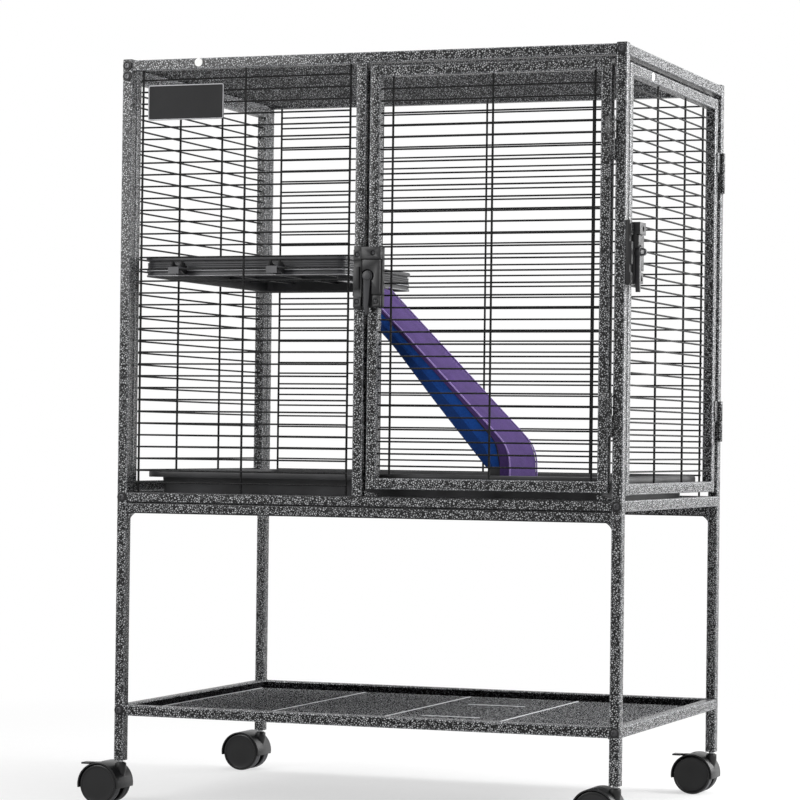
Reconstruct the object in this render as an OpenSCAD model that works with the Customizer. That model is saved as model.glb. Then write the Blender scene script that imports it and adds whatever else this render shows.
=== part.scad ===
// Ferret cage on a storage stand with four twin-wheel casters.
// +X is the viewer's right, +Y is the back and +Z is up.
// The origin lies on the floor under the middle of the box around the whole object.

/* [Cage] */
// Width over the corner posts
cage_width = 787; // [740:1:900]
// Depth over the corner posts
cage_depth = 550; // [530:1:650]
// Height of the post tops above the floor
cage_top = 1115; // [1090:1:1250]
// Height of the seam between the stand and the cage
stand_top = 452; // [400:1:480]
// Height of the top of the storage shelf's rails
storage_top = 149; // [110:1:260]
// Distance of the front mullion's middle to the left of the cage's middle
mullion_offset = 8.5; // [0:0.5:30]

/* [Tubes] */
// Side of the square frame tube
tube = 16; // [15:0.5:18]
// Wall of the frame tube
tube_wall = 1.2; // [1:0.1:2]
// Outer corner radius of the frame tube
tube_corner = 2; // [1.5:0.1:3]
// Depth to which a welded end sinks into its neighbour
weld = 0.5; // [0.3:0.1:0.8]
// Leg of the gusset in the upper inner corners of the stand's frames
gusset = 9; // [6:1:20]
// Height of the plastic caps on the post tops
cap_height = 2; // [1.5:0.5:4]
// Depth of a cap's plug in the post
cap_plug = 4; // [3:0.5:8]

/* [Wires] */
// Thickness of the cage wire
wire = 2; // [1.6:0.1:2.6]
// Pitch of the rungs
wire_pitch = 17.7; // [15:0.1:24]
// Distance of the rungs' middle behind the outer face of the tubes
wire_setback = 6; // [4:0.5:8]
// Distance of the back's outermost upright wires from the posts
back_wire_inset = 16.5; // [10:0.5:30]
// Distance of the fixed front's left upright wire from the post
front_wire_inset = 15.5; // [10:0.5:30]
// Distance of the fixed front's right upright wire from the mullion
mullion_wire_inset = 11.5; // [8:0.5:20]
// Distance of the door's first upright wire from its latch stile
door_wire_inset_latch = 18; // [10:0.5:24]
// Distance of the door's last upright wire from its hinge stile
door_wire_inset_hinge = 10.5; // [8:0.5:20]
// Number of upright wires in the back
back_uprights = 5; // [3:1:9]
// Number of ceiling wires that run from front to back
ceiling_uprights = 4; // [2:1:9]

/* [Doors] */
// Gap between a front door and the mullion
front_door_latch_gap = 5.5; // [3:0.5:8]
// Gap between the front door and its hinge post
front_door_hinge_gap = 6; // [5:0.5:9]
// Gap over the front door
front_door_top_gap = 4.5; // [3:0.5:10]
// Gap under the front door
front_door_bottom_gap = 10.5; // [9:0.5:16]
// Gap between the side door and the front post
side_door_latch_gap = 4; // [3:0.5:6]
// Gap between the side door and the rear post
side_door_hinge_gap = 21; // [18:0.5:26]
// Gap over the side door
side_door_top_gap = 9; // [3:0.5:12]
// Gap under the side door
side_door_bottom_gap = 7.5; // [4:0.5:12]
// Gap between the fixed left panel and the posts
left_panel_gap = 2.5; // [1.5:0.5:5]
// Height of the wedge tabs under the front door
door_stop_height = 7.5; // [5:0.5:8]
// Length of a wedge tab
door_stop_length = 22; // [14:1:30]
// Height of a wedge tab at its thin end
door_stop_toe = 2; // [1:0.5:4]
// Length of a wedge tab's level part
door_stop_flat = 4; // [2:0.5:8]

/* [Hinges] */
// Distance of the lower hinges above the door's lower edge
hinge_low_inset = 78.5; // [40:0.5:120]
// Distance of the upper hinges below the door's upper edge
hinge_high_inset = 83; // [40:0.5:120]
// Length of each half of a lift-off hinge
hinge_half = 31.3; // [24:0.1:40]
// Gap between the two halves of a hinge
hinge_gap = 0.4; // [0.3:0.1:1]
// Outer radius of a hinge barrel
barrel_radius = 4; // [3.6:0.1:5]
// Radius of a hinge pin
pin_radius = 2.2; // [1.8:0.1:2.6]
// Radial clearance of pins, axles and pivots in their bores
running_clearance = 0.05; // [0.02:0.01:0.08]
// Distance of a hinge axis in front of the face of the tubes
hinge_standoff = 5; // [4.6:0.1:7]
// Thickness of a hinge leaf
leaf = 2; // [1.5:0.1:2.5]
// Length of a hinge leaf that lies on its tube
leaf_grip = 9; // [6:0.5:12]
// Distance of a hinge pin's end below the top of its barrel
pin_short = 3; // [1:0.5:6]

/* [Latches] */
// Width of a latch case
latch_width = 30; // [26:1:40]
// Height of a latch case above the lever's pivot
latch_rise = 42; // [36:1:60]
// Height of a latch case below the lever's pivot
latch_drop = 45.5; // [40:1:60]
// Thickness of a latch case's base
latch_base = 9; // [7:0.5:11]
// Thickness of the raised panel on a latch case
latch_relief = 6; // [4:0.5:7]
// Distance of a latch case's edge beyond the door's edge, from the pivot's inset
latch_margin = 4; // [2:0.5:5]
// Height of the block with the case's upper screw
latch_top_block = 17.5; // [14:0.5:22]
// Height of the small block at a case's foot
latch_foot_block = 17; // [12:0.5:20]
// Width of the small block at a case's foot
latch_foot_width = 12; // [8:0.5:16]
// Size of the steps between the blocks of a latch case
latch_step = 1; // [0.6:0.1:1.4]
// Distance of a case's upper screw from its pivot's line and its upper edge
latch_screw_inset = 9; // [7:0.5:12]
// Distance of a case's lower screw from its side and lower edge
latch_foot_inset = 8; // [6:0.5:10]
// Room around a lever's head in its recess
lever_play = 2; // [1:0.1:3]
// Width of the recess beside a lever's pivot
lever_side = 7; // [5.5:0.5:9]
// Height of the front latch's pivot above the door's lower edge
front_latch_height = 309; // [200:1:400]
// Height of the side latch's pivot above the door's lower edge
side_latch_height = 345; // [200:1:400]
// Distance of a lever's pivot from the door's edge
pivot_inset = 5; // [4:0.5:8]
// Radius of a lever's head
lever_head = 7.7; // [6:0.1:9]
// Length of a lever's tail below its pivot
lever_tail = 57; // [48:1:65]
// Thickness of a lever
lever_thick = 8; // [6:0.5:8.5]
// Half of a lever's width at its pivot
lever_half = 5; // [4:0.1:6]
// Width of a lever's tip
lever_tip = 2.4; // [1.5:0.1:4]
// Radius of a lever's pivot
pivot_radius = 3; // [2:0.1:4]
// Width of a keeper plate
keeper_width = 12; // [11:0.5:13]
// Thickness of a keeper plate
keeper_thick = 6; // [4:0.5:8]
// Thickness of the raised bar on a keeper plate
keeper_bar_thick = 3; // [2:0.5:3]
// Height of the raised bar on a keeper plate
keeper_bar = 32; // [20:1:40]
// Distance of the bar's middle below the lever's pivot
keeper_bar_drop = 2.5; // [0:0.5:6]
// Width by which the bar stays back from the keeper's edge
keeper_bar_back = 3; // [2:0.5:5]
// Height of the bosses around a keeper's screws
keeper_boss = 15; // [12:0.5:18]
// Distance of a keeper's upper screw below the case's upper edge
keeper_screw_inset = 11; // [9:0.5:14]
// Length by which a keeper plate reaches past the case
keeper_over = 2; // [0:0.5:5]
// Outer radius of the finger ring on the side lever
ring_radius = 5.5; // [5:0.5:7]
// Wall of the finger ring
ring_wall = 2.5; // [1.5:0.1:3]
// Width of the finger ring
ring_width = 6; // [4:0.5:8]

/* [Shelf and ramp] */
// Height of the half shelf's top above the base rails
shelf_height = 354; // [330:1:420]
// Height of the half shelf's skirts
shelf_skirt = 30; // [24:1:40]
// Distance of the half shelf from the left side's inner face
shelf_gap_side = 3.5; // [2:0.5:10]
// Length of the half shelf from left to right
shelf_length = 259; // [220:1:280]
// Length by which the landing runs on past the half shelf
landing_length = 72; // [50:1:80]
// Depth of the landing from front to back
landing_depth = 155; // [145:1:200]
// Distance of the half shelf's long edges from the cage's inner faces
shelf_edge_gap = 19; // [15:0.5:34]
// Wall of the moulded shelf and tray
moulded_wall = 2.5; // [2:0.1:4]
// Outer corner radius of the half shelf
shelf_corner = 12; // [8:1:20]
// Distance of the left hooks' pads from the half shelf's left end
tab_inset_left = 61; // [40:1:90]
// Distance of the right hooks' pads from the half shelf's right end
tab_inset_right = 39.5; // [30:0.5:60]
// Width of a hook's pad
tab_width = 17; // [12:1:24]
// Thickness of a hook's pad
tab_thick = 2; // [1.5:0.5:3]
// Height of a hook's pad
tab_height = 17; // [12:1:19]
// Distance of a hook's pad above the skirt's lower edge
tab_foot = 4; // [2:0.5:6]
// Width of a shelf hook
hook_flat = 5; // [4:0.5:8]
// Thickness of a shelf hook
hook_thick = 2.5; // [2:0.1:3]
// Length of a shelf hook's nose below its arm
hook_nose = 6; // [4:0.5:8]
// Width of the ramp
ramp_width = 130; // [100:1:134]
// Distance of the ramp's middle behind the half shelf's front edge
ramp_inset = 89; // [88:0.5:100]
// Horizontal reach of the ramp from the landing to its foot
ramp_reach = 248.5; // [200:1:300]
// Thickness of the ramp's cloth sleeve at its sides
sleeve_wall = 3; // [2:0.5:5]
// Distance of the pad's upper end from the landing's end
pad_lead = 10; // [8:0.5:16]
// Distance of the pad's upper end below the shelf's skirt
pad_fall = 11; // [8:0.5:16]
// Height of the pad's rounded foot above the tray's floor
pad_foot = 67; // [50:1:80]
// Height of the pad's shoulder over its foot
pad_shoulder_rise = 22; // [15:1:30]
// Distance of the pad's shoulder behind its foot
pad_shoulder_back = 7.5; // [5:0.5:12]
// Distance of the pad's lower seam from the landing's end
seam_lead = 8; // [6:0.5:9]
// Distance of the pad's lower seam below the pad's upper end
seam_fall = 4; // [3:0.5:8]
// Thickness of the pad at its foot
seam_toe_back = 15; // [12:0.5:20]
// Height at which the lower seam ends above the tray's floor
seam_toe_rise = 54; // [40:1:60]
// Distance of the seam's knee behind its toe
seam_knee_back = 3; // [2:0.5:5]
// Height of the seam's knee over its toe
seam_knee_rise = 27; // [20:1:35]
// Distance of the seam's shoulder behind its knee
seam_shoulder_back = 13; // [9:0.5:18]
// Height of the seam's shoulder over its knee
seam_shoulder_rise = 22; // [16:1:28]
// Distance of the sleeve's upper end from the landing's end
under_lead = 6; // [4:0.5:7]
// Depth of the sleeve at its upper end
under_fall = 27; // [20:1:36]
// Length of the sleeve's upper stretch, along the cage
under_run = 58; // [40:1:70]
// Fall of the sleeve's upper stretch
under_drop = 59; // [45:1:70]
// Distance of the sleeve's lower bend behind its toe
under_back = 77; // [60:1:95]
// Height of the sleeve's lower bend over its toe
under_rise = 91; // [75:1:110]
// Distance of the sleeve's toe behind the seam's toe
under_toe_back = 21; // [16:1:28]
// Thickness of the cheeks of the ramp's board
cheek = 7; // [5:0.5:10]
// Thickness of the deck of the ramp's board
deck = 5; // [4:0.5:7]
// Width of a hook at the ramp's upper end
hook_width = 20; // [14:1:30]
// Distance of the ramp's hooks from its middle
hook_spread = 40; // [30:1:50]
// Gap between a ramp hook and the landing's skirt
hook_gap = 0.8; // [0.5:0.1:1.2]
// Thickness of a ramp hook
hook_strap = 3; // [2:0.5:4]
// Height of a ramp hook behind the landing's skirt
hook_rise = 10; // [6:1:16]

/* [Tray] */
// Distance of the tray's rim from the cage's ends
tray_gap_x = 23.5; // [20:0.5:40]
// Distance of the tray's rim from the cage's front and back faces
tray_gap_y = 35; // [20:0.5:50]
// Width of the tray's rim
tray_rim = 20; // [14:1:23]
// Height of the tray's rim edge
tray_edge = 10; // [6:1:16]
// Depth of the tray from its rim to its underside
tray_depth = 45; // [36:1:60]
// Outer corner radius of the tray's rim
tray_corner = 20; // [12:1:30]
// Width of a flat bar under the tray
support_width = 20; // [12:1:40]
// Thickness of a flat bar under the tray
support_thick = 3; // [2:0.5:4]

/* [Storage shelf] */
// Thickness of the storage shelf's sheet
sheet = 1.2; // [0.8:0.1:2]
// Distance of the sheet's top below the tops of its rails
sheet_drop = 12; // [8:0.5:14]
// Height of the pressed ridges on the storage shelf
ridge = 1.5; // [1:0.1:2]
// Pitch of the pressed ridges
ridge_pitch = 181.5; // [120:0.5:200]
// Distance of the first pressed ridge from the sheet's left edge
ridge_inset = 187.5; // [60:0.5:200]
// Distance of the long ridges' ends from the sheet's long edges
ridge_end = 12; // [8:1:80]
// Length of the two short ridges that run from left to right
short_ridge = 99; // [60:1:120]
// Distance of a short ridge from the sheet's middle
short_ridge_offset = 108; // [60:1:160]

/* [Nameplate] */
// Width of the bare nameplate
plate_width = 123.5; // [80:0.5:140]
// Height of the bare nameplate
plate_height = 53; // [40:1:70]
// Thickness of the bare nameplate
plate_thick = 1.5; // [1:0.1:2]
// Corner radius of the nameplate
plate_corner = 3; // [1:0.5:6]
// Width of the bosses behind the nameplate
boss_width = 20; // [10:1:26]
// Depth of the bosses behind the nameplate
boss_depth = 3; // [2:0.5:4]
// Distance of the bosses from the nameplate's ends
boss_inset = 15; // [6:1:24]
// Distance of the nameplate from the left post
plate_inset = 25; // [20:1:60]
// Distance of the nameplate below the top rail
plate_drop = 22; // [15:1:60]

/* [Fasteners] */
// Radius of a frame bolt's head
bolt_head = 6.5; // [5:0.1:7]
// Thickness of a frame bolt's head
bolt_head_thick = 3; // [2.4:0.1:4]
// Radius of a frame bolt's shank
bolt_shank = 3; // [2:0.1:3.5]
// Depth to which a bolt enters the rail behind the post
bolt_grip = 14; // [10:1:20]
// Depth by which a rail's plug reaches past the bolt's end
plug_over = 2; // [1:0.5:6]
// Radius of a latch or keeper screw's head
screw_head = 3.4; // [2.5:0.1:4]
// Radius of a latch or keeper screw's shank
screw_shank = 1.5; // [1:0.1:2]
// Thickness of a latch or keeper screw's head
screw_head_thick = 1.8; // [1.2:0.1:2.4]
// Depth to which a case screw's head is sunk
screw_sink = 1.5; // [1:0.1:3]
// Thickness of a frame bolt's flange
bolt_flange = 1.2; // [0.8:0.1:1.6]

/* [Casters] */
// Radius of a caster wheel
wheel_radius = 30; // [26:1:34]
// Width of a caster wheel
wheel_width = 19; // [14:1:22]
// Radius of a caster wheel's axle
axle_radius = 3; // [2:0.1:4]
// Outer radius of a caster's hood
hood_radius = 33; // [32:0.5:38]
// Wall of a caster's hood
hood_wall = 2; // [1.5:0.1:2.5]
// Distance of a hood's lower edge below the axle
hood_below = 5; // [2:0.5:10]
// Thickness of the web between the wheels
web = 13; // [12:0.5:16]
// Gap between a wheel and the web
wheel_gap = 0.7; // [0.5:0.1:1.5]
// Distance between a caster's stem and its axle
caster_trail = 25; // [22:0.5:27]
// Radius of a caster's stem
stem_radius = 4; // [3:0.1:4.4]
// Length of a caster's stem above the leg's end
stem_rise = 30; // [20:1:45]
// Gap between a caster and the leg's end
stem_gap = 3; // [2:0.5:6]
// Length of a brake lever from its pivot
brake_reach = 28; // [24:0.5:32]
// Width of a brake lever's foot pad
brake_pad = 18; // [12:1:24]
// Thickness of a brake lever's foot pad
brake_thick = 2.5; // [2:0.1:4]
// Height of a brake lever's foot pad above its pin
brake_lift = 6.5; // [6:0.5:9]
// Distance of the foot pad's near end from the pin
brake_neck = 15; // [13:0.5:18]
// Half of the height of a brake lever's arm at its pin
brake_boss = 3.3; // [2.5:0.1:4]
// Distance of a brake's pin behind the axle
brake_back = 8; // [5:0.5:12]
// Distance of a brake's pin above the axle
brake_rise = 21.5; // [20:0.5:23]
// Radius of a brake's pin
brake_pin = 1.5; // [1:0.1:2]
// Bevel of a caster wheel's edges
wheel_bevel = 1.5; // [1:0.1:3]

/* [Hidden] */
wire_sides = 6;
corner_sides = 8;
$fn = 48;
fuse = 0.3;
skin = 0.3;

// The cage's own frame: the middle of its width and depth, with z on the floor.
half_w = cage_width / 2;
half_d = cage_depth / 2;
post_x = half_w - tube / 2;
post_y = half_d - tube / 2;
inner_x = half_w - tube;
inner_y = half_d - tube;
leg_bottom = wheel_radius + hood_radius + stem_gap;
storage_low = storage_top - tube;
sheet_top = storage_top - sheet_drop;
base_top = stand_top + tube;
ceiling = cage_top - tube;

// The fixed front ends at the mullion, and the door fills the rest.
mullion_left = -mullion_offset - tube / 2;
mullion_right = -mullion_offset + tube / 2;
door_left = mullion_right + front_door_latch_gap;
door_right = inner_x - front_door_hinge_gap;
door_low = base_top + front_door_bottom_gap;
door_high = ceiling - front_door_top_gap;
side_front = -inner_y + side_door_latch_gap;
side_back = inner_y - side_door_hinge_gap;
side_low = base_top + side_door_bottom_gap;
side_high = ceiling - side_door_top_gap;

// Hinge axes stand in front of the faces of the tubes.
front_hinge_x = inner_x - front_door_hinge_gap / 2;
front_hinge_y = -half_d - hinge_standoff;
side_hinge_x = half_w + hinge_standoff;
side_hinge_y = side_back + side_door_hinge_gap / 2;
leaf_reach = front_door_hinge_gap / 2 + leaf_grip;
side_leaf_reach = side_door_hinge_gap / 2 + leaf_grip;
hinge_len = 2 * hinge_half + hinge_gap;

// A latch's lever turns on a pin at right angles to the door's face.
front_pivot = [door_left + pivot_inset, -half_d, door_low + front_latch_height];
side_pivot = [half_w, side_front + pivot_inset, side_low + side_latch_height];
latch_left = -pivot_inset - latch_margin;
latch_right = latch_left + latch_width;
latch_front = latch_base + latch_relief;
lever_lift = 0.4;
lever_front = latch_base + lever_lift + lever_thick;
ring_standoff = 1.5;
keeper_front = keeper_thick + keeper_bar_thick;
keeper_middle = -pivot_inset - front_door_latch_gap - tube / 2;
side_keeper_middle = -pivot_inset - side_door_latch_gap - tube / 2;

// The half shelf hangs on the left, and its landing runs on along the front.
shelf_top = base_top + shelf_height;
shelf_low = shelf_top - shelf_skirt;
shelf_left = -inner_x + shelf_gap_side;
shelf_half_depth = inner_y - shelf_edge_gap;
shelf_right = shelf_left + shelf_length;
landing_end = shelf_right + landing_length;

// The tray stands on flat bars between the base rails.
tray_low = stand_top + support_thick + skin;
tray_floor = tray_low + moulded_wall;
tray_top = tray_low + tray_depth;
tray_x = half_w - tray_gap_x;
tray_y = half_d - tray_gap_y;

// The ramp hooks under the landing's end and stands on the tray's floor.
ramp_foot = landing_end + ramp_reach;
ramp_base = tray_floor + skin;
ramp_offset = shelf_half_depth - ramp_inset;
pad_start = [landing_end + pad_lead, shelf_low - pad_fall];
pad_toe = [ramp_foot, ramp_base + pad_foot];
pad_shoulder = pad_toe + [-pad_shoulder_back, pad_shoulder_rise];
seam_start = [landing_end + seam_lead, shelf_low - pad_fall - seam_fall];
seam_toe = [ramp_foot - seam_toe_back, ramp_base + seam_toe_rise];
seam_knee = seam_toe + [-seam_knee_back, seam_knee_rise];
seam_shoulder = seam_knee + [-seam_shoulder_back, seam_shoulder_rise];
under_start = [landing_end + under_lead, seam_start.y - under_fall];
under_upper = under_start + [under_run, -under_drop];
under_toe = seam_toe + [-under_toe_back, 0];
under_lower = under_toe + [-under_back, under_rise];
pivot_line = [landing_end - moulded_wall / 2, shelf_low];

// Small walls and steps that aren't seen from outside.
pivot_web = 2;
pivot_end = 1;
lever_crown = 1.5;
head_play = 0.2;
brake_cheek = 1.9;
stem_seat = 5;
axle_short = 4;

// Casters stand under the legs, with their axles to the left of their stems.
caster_half = web / 2 + wheel_gap + wheel_width + wheel_bevel;
brake_pivot = [-brake_back, brake_rise];

// The box around the whole object sets the origin.
reach_left = post_x + caster_trail - brake_pivot.x + brake_reach;
reach_right = half_w + lever_front + ring_standoff + ring_radius;
shift_x = (reach_left - reach_right) / 2;

// Moves a piece from the cage's own frame to the object's frame.
module placed() translate([shift_x, 0, 0]) children();

// ---- Tube and wire stock ----

// A square with rounded corners, centred.
module rounded_square(side, radius) {
    flat = side - 2 * radius;
    square([side, flat], center = true);
    square([flat, side], center = true);
    for (sx = [-1, 1], sy = [-1, 1])
        translate([sx * flat / 2, sy * flat / 2]) circle(r = radius, $fn = corner_sides);
}

// The hollow section of the frame tube.
module tube_section() {
    difference() {
        rounded_square(tube, tube_corner);
        square(tube - 2 * tube_wall, center = true);
    }
}

// Tubes along each axis, from one end to the other, around a middle line.
module tube_z(x, y, z0, z1) translate([x, y, z0]) linear_extrude(z1 - z0) tube_section();
module tube_x(x0, x1, y, z) {
    translate([x0, y, z]) rotate([90, 0, 90]) linear_extrude(x1 - x0) tube_section();
}
module tube_y(x, y0, y1, z) {
    translate([x, y1, z]) rotate([90, 0, 0]) linear_extrude(y1 - y0) tube_section();
}

// Wires along each axis, from one end to the other.
module wire_z(x, y, z0, z1) {
    translate([x, y, z0]) cylinder(h = z1 - z0, d = wire, $fn = wire_sides);
}
module wire_x(x0, x1, y, z) {
    translate([x0, y, z]) rotate([0, 90, 0]) rotate(30) cylinder(h = x1 - x0, d = wire, $fn = wire_sides);
}
module wire_y(x, y0, y1, z) {
    translate([x, y1, z]) rotate([90, 0, 0]) cylinder(h = y1 - y0, d = wire, $fn = wire_sides);
}

// Evenly spaced values from a first to a last one.
function spread(first, last, count) = [for (i = [0:count - 1]) first + (last - first) * i / (count - 1)];

// Heights of the rungs that fill an opening at the wire pitch, with equal gaps at both ends.
function rungs(low, high) =
    let (count = floor((high - low) / wire_pitch),
         first = (low + high - (count - 1) * wire_pitch) / 2)
    [for (i = [0:count - 1]) first + i * wire_pitch];

// Distance between the middles of the rungs and of the uprights that cross them.
cross_gap = wire * cos(30) - fuse;

// Rungs along X that are welded to the outer side of uprights.
// The wires' plane is at y, and the uprights lie behind or before it.
module grille(x0, x1, uprights, y, side, rung_low, rung_high, low, high) {
    for (x = uprights) wire_z(x, y + side * cross_gap, low, high);
    for (z = rungs(rung_low, rung_high)) wire_x(x0, x1, y, z);
}

// A welded rectangle of tube with a grille, in a plane across Y.
// The frame's outer face lies at y, and side tells on which side the cage's inside is.
module framed_panel(x0, x1, low, high, uprights, y, side) {
    middle = y + side * tube / 2;
    for (x = [x0 + tube / 2, x1 - tube / 2]) tube_z(x, middle, low, high);
    for (z = [low + tube / 2, high - tube / 2])
        tube_x(x0 + tube - weld, x1 - tube + weld, middle, z);
    grille(x0 + tube - weld, x1 - tube + weld, uprights, y + side * wire_setback, side,
        low + tube, high - tube, low + tube - weld, high - tube + weld);
}

// A flat-bottomed round hole's cutter along +Y.
module bore_y(x, y, z, radius, depth) {
    translate([x, y, z]) rotate([-90, 0, 0]) cylinder(h = depth, r = radius);
}

// ---- Stand ----

// One of the stand's two frames: two legs, a top rail with gussets, and a storage rail.
module stand_frame(y) {
    difference() {
        union() {
            for (side = [-1, 1]) tube_z(side * post_x, y, leg_bottom, stand_top);
            for (z = [stand_top - tube / 2, storage_low + tube / 2])
                tube_x(-inner_x - weld, inner_x + weld, y, z);
            for (side = [-1, 1]) stand_gusset(side, y);
        }
        for (side = [-1, 1])
            bore_y(side * post_x, y - tube, storage_low + tube / 2, bolt_shank + running_clearance,
                2 * tube);
    }
}

// The solid corner where a leg runs into the top rail.
module stand_gusset(side, y) {
    low = stand_top - tube;
    translate([0, y + tube / 2 - tube_corner, 0]) rotate([90, 0, 0])
        linear_extrude(tube - 2 * tube_corner)
        polygon([
            [side * (inner_x + weld), low + weld],
            [side * (inner_x + weld), low - gusset],
            [side * (inner_x - gusset * 0.3), low - gusset * 0.3],
            [side * (inner_x - gusset), low + weld]
        ]);
}

module stand_front_frame() placed() color("dimgray") stand_frame(-post_y);
module stand_rear_frame() placed() color("dimgray") stand_frame(post_y);

// A rail from a front post to a rear post, with a plug in each end for the frame bolt.
module side_rail(x, z) {
    tube_y(x, -inner_y, inner_y, z);
    for (side = [-1, 1]) rail_plug(x, side, z);
}

// A plug inside the end of a side rail, bored for the bolt's shank.
module rail_plug(x, side, z) {
    room = tube - 2 * tube_wall + fuse;
    long = bolt_grip + plug_over;
    difference() {
        translate([x, side * (inner_y - long / 2), z]) cube([room, long, room], center = true);
        bore_y(x, side * (inner_y - long / 2) - long, z, bolt_shank + running_clearance, 2 * long);
    }
}

module storage_side_rails() placed() color("dimgray") {
    for (side = [-1, 1]) side_rail(side * post_x, storage_low + tube / 2);
}

// A thin steel sheet that is welded in between the four storage rails, below their tops.
// Three long ridges and two short ones are pressed up out of it.
module storage_panel() placed() color("gray") {
    first = -inner_x + ridge_inset;
    translate([-inner_x, -inner_y, sheet_top - sheet]) cube([2 * inner_x, 2 * inner_y, sheet]);
    for (i = [0:2]) storage_ridge(first + i * ridge_pitch, 0, 2 * (inner_y - ridge_end), 0);
    for (side = [-1, 1])
        storage_ridge(first + 1.5 * ridge_pitch, side * short_ridge_offset, short_ridge, 90);
}

// One pressed ridge around a middle, along Y or turned to run along X.
module storage_ridge(x, y, length, turn) {
    translate([x, y, sheet_top]) rotate([0, 0, turn]) translate([0, length / 2, 0])
        rotate([90, 0, 0]) linear_extrude(length)
        polygon([[-3 * ridge, -fuse], [3 * ridge, -fuse], [0, ridge]]);
}

// ---- Cage frame ----

// Heights at which bolts pass through the cage's posts.
base_bolt = base_top - tube / 2;
top_bolt = cage_top - tube / 2;
panel_bolt = ceiling - tube / 2;

// A corner post with holes for its frame bolts.
module post(x, y, bolts) {
    difference() {
        tube_z(x, y, stand_top, cage_top);
        for (z = bolts) bore_y(x, y - tube, z, bolt_shank + running_clearance, 2 * tube);
    }
}

module post_front_left() placed() color("dimgray") {
    post(-post_x, -post_y, [base_bolt, panel_bolt, top_bolt]);
}
module post_front_right() placed() color("dimgray") post(post_x, -post_y, [base_bolt, top_bolt]);
module post_rear_left() placed() color("dimgray") {
    post(-post_x, post_y, [base_bolt, panel_bolt, top_bolt]);
}
module post_rear_right() placed() color("dimgray") post(post_x, post_y, [base_bolt, top_bolt]);

// Plastic caps that plug the open tops of the four posts.
module post_caps() placed() color("black") {
    for (sx = [-1, 1], sy = [-1, 1]) translate([sx * post_x, sy * post_y, cage_top]) {
        linear_extrude(cap_height) rounded_square(tube, tube_corner);
        translate([0, 0, -cap_plug]) linear_extrude(cap_plug + fuse)
            square(tube - 2 * tube_wall - skin, center = true);
    }
}

module base_rail_front() placed() color("dimgray") tube_x(-inner_x, inner_x, -post_y, base_bolt);
module base_rail_rear() placed() color("dimgray") tube_x(-inner_x, inner_x, post_y, base_bolt);
module base_rail_left() placed() color("dimgray") side_rail(-post_x, base_bolt);
module base_rail_right() placed() color("dimgray") side_rail(post_x, base_bolt);

// The roof: four tubes between the posts, joined by the ceiling's wires.
module top_panel() placed() color("dimgray") {
    wire_high = ceiling + tube_corner + wire;
    for (side = [-1, 1]) {
        tube_x(-inner_x + skin, inner_x - skin, side * post_y, top_bolt);
        side_rail(side * post_x, top_bolt);
    }
    for (y = rungs(-inner_y, inner_y)) wire_x(-inner_x - weld, inner_x + weld, y, wire_high);
    for (x = spread(-inner_x, inner_x, ceiling_uprights + 2))
        if (abs(x) < inner_x)
            wire_y(x, -inner_y - weld, inner_y + weld, wire_high + cross_gap);
}

// Wires of the back, welded between the roof and the base rail.
module back_wires() placed() color("dimgray") {
    edge = inner_x - back_wire_inset;
    grille(-edge - wire, edge + wire, spread(-edge, edge, back_uprights),
        half_d - wire_setback, -1, base_top, ceiling, base_top, ceiling);
}

// Wires of the fixed front, left of the mullion.
module front_wires() placed() color("dimgray") {
    first = -inner_x + front_wire_inset;
    last = mullion_left - mullion_wire_inset;
    grille(first - wire, last + wire, spread(first, last, 3),
        -half_d + wire_setback, 1, base_top, ceiling, base_top, ceiling);
}

module front_mullion() placed() color("dimgray") {
    tube_z(-mullion_offset, -post_y, base_top, ceiling);
}

// Turns a panel that is modelled across Y so that it stands across X on the left.
module on_left() rotate([0, 0, -90]) children();

// Turns a panel that is modelled across Y so that it stands across X on the right.
module on_right() rotate([0, 0, 90]) children();

// The fixed left side, held by a bolt through each left post.
module left_panel() placed() color("dimgray") {
    edge = inner_y - left_panel_gap;
    opening = edge - tube;
    difference() {
        on_left() framed_panel(-edge, edge, base_top, ceiling,
            [-opening / 3, opening / 3], -half_w, 1);
        for (side = [-1, 1])
            bore_y(-post_x, side * (edge - bolt_grip / 2) - bolt_grip, panel_bolt,
                bolt_shank + running_clearance, 2 * bolt_grip);
    }
}

// ---- Doors ----

module front_door_panel() placed() color("dimgray") {
    first = door_left + tube + door_wire_inset_latch;
    last = door_right - tube - door_wire_inset_hinge;
    difference() {
        framed_panel(door_left, door_right, door_low, door_high, spread(first, last, 3), -half_d, 1);
        placed_latch(front_pivot, 0) screw_holes(case_screws, tube);
    }
}

module side_door_panel() placed() color("dimgray") {
    opening = side_back - side_front - 2 * tube;
    difference() {
        on_right() framed_panel(side_front, side_back, side_low, side_high,
            [for (k = [1, 2]) side_front + tube + opening * k / 3], -half_w, 1);
        placed_latch(side_pivot, 90) screw_holes(case_screws, tube);
    }
}

// Wedge tabs on the front base rail, under the door's lower corners.
module door_stops() placed() color("silver") {
    for (x = [door_left + tube / 2, door_right - tube / 2 + door_stop_toe]) door_stop(x);
}

module door_stop(x) {
    half = door_stop_length / 2;
    translate([x, -post_y + tube / 4, base_top]) rotate([90, 0, 0]) linear_extrude(tube / 2)
        polygon([
            [-half, 0], [half, 0], [half, door_stop_toe],
            [-half + door_stop_flat, door_stop_height], [-half, door_stop_height]
        ]);
}

// ---- Hinges ----

// The post's half of a lift-off hinge: barrel, upright pin and leaf, on the origin's axis.
// The leaf points along +X and its back is at the standoff.
module hinge_post_half(reach) {
    cylinder(h = hinge_half, r = barrel_radius);
    cylinder(h = hinge_len - pin_short, r = pin_radius);
    translate([0, hinge_standoff - leaf, 0]) cube([reach, leaf, hinge_half]);
}

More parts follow.
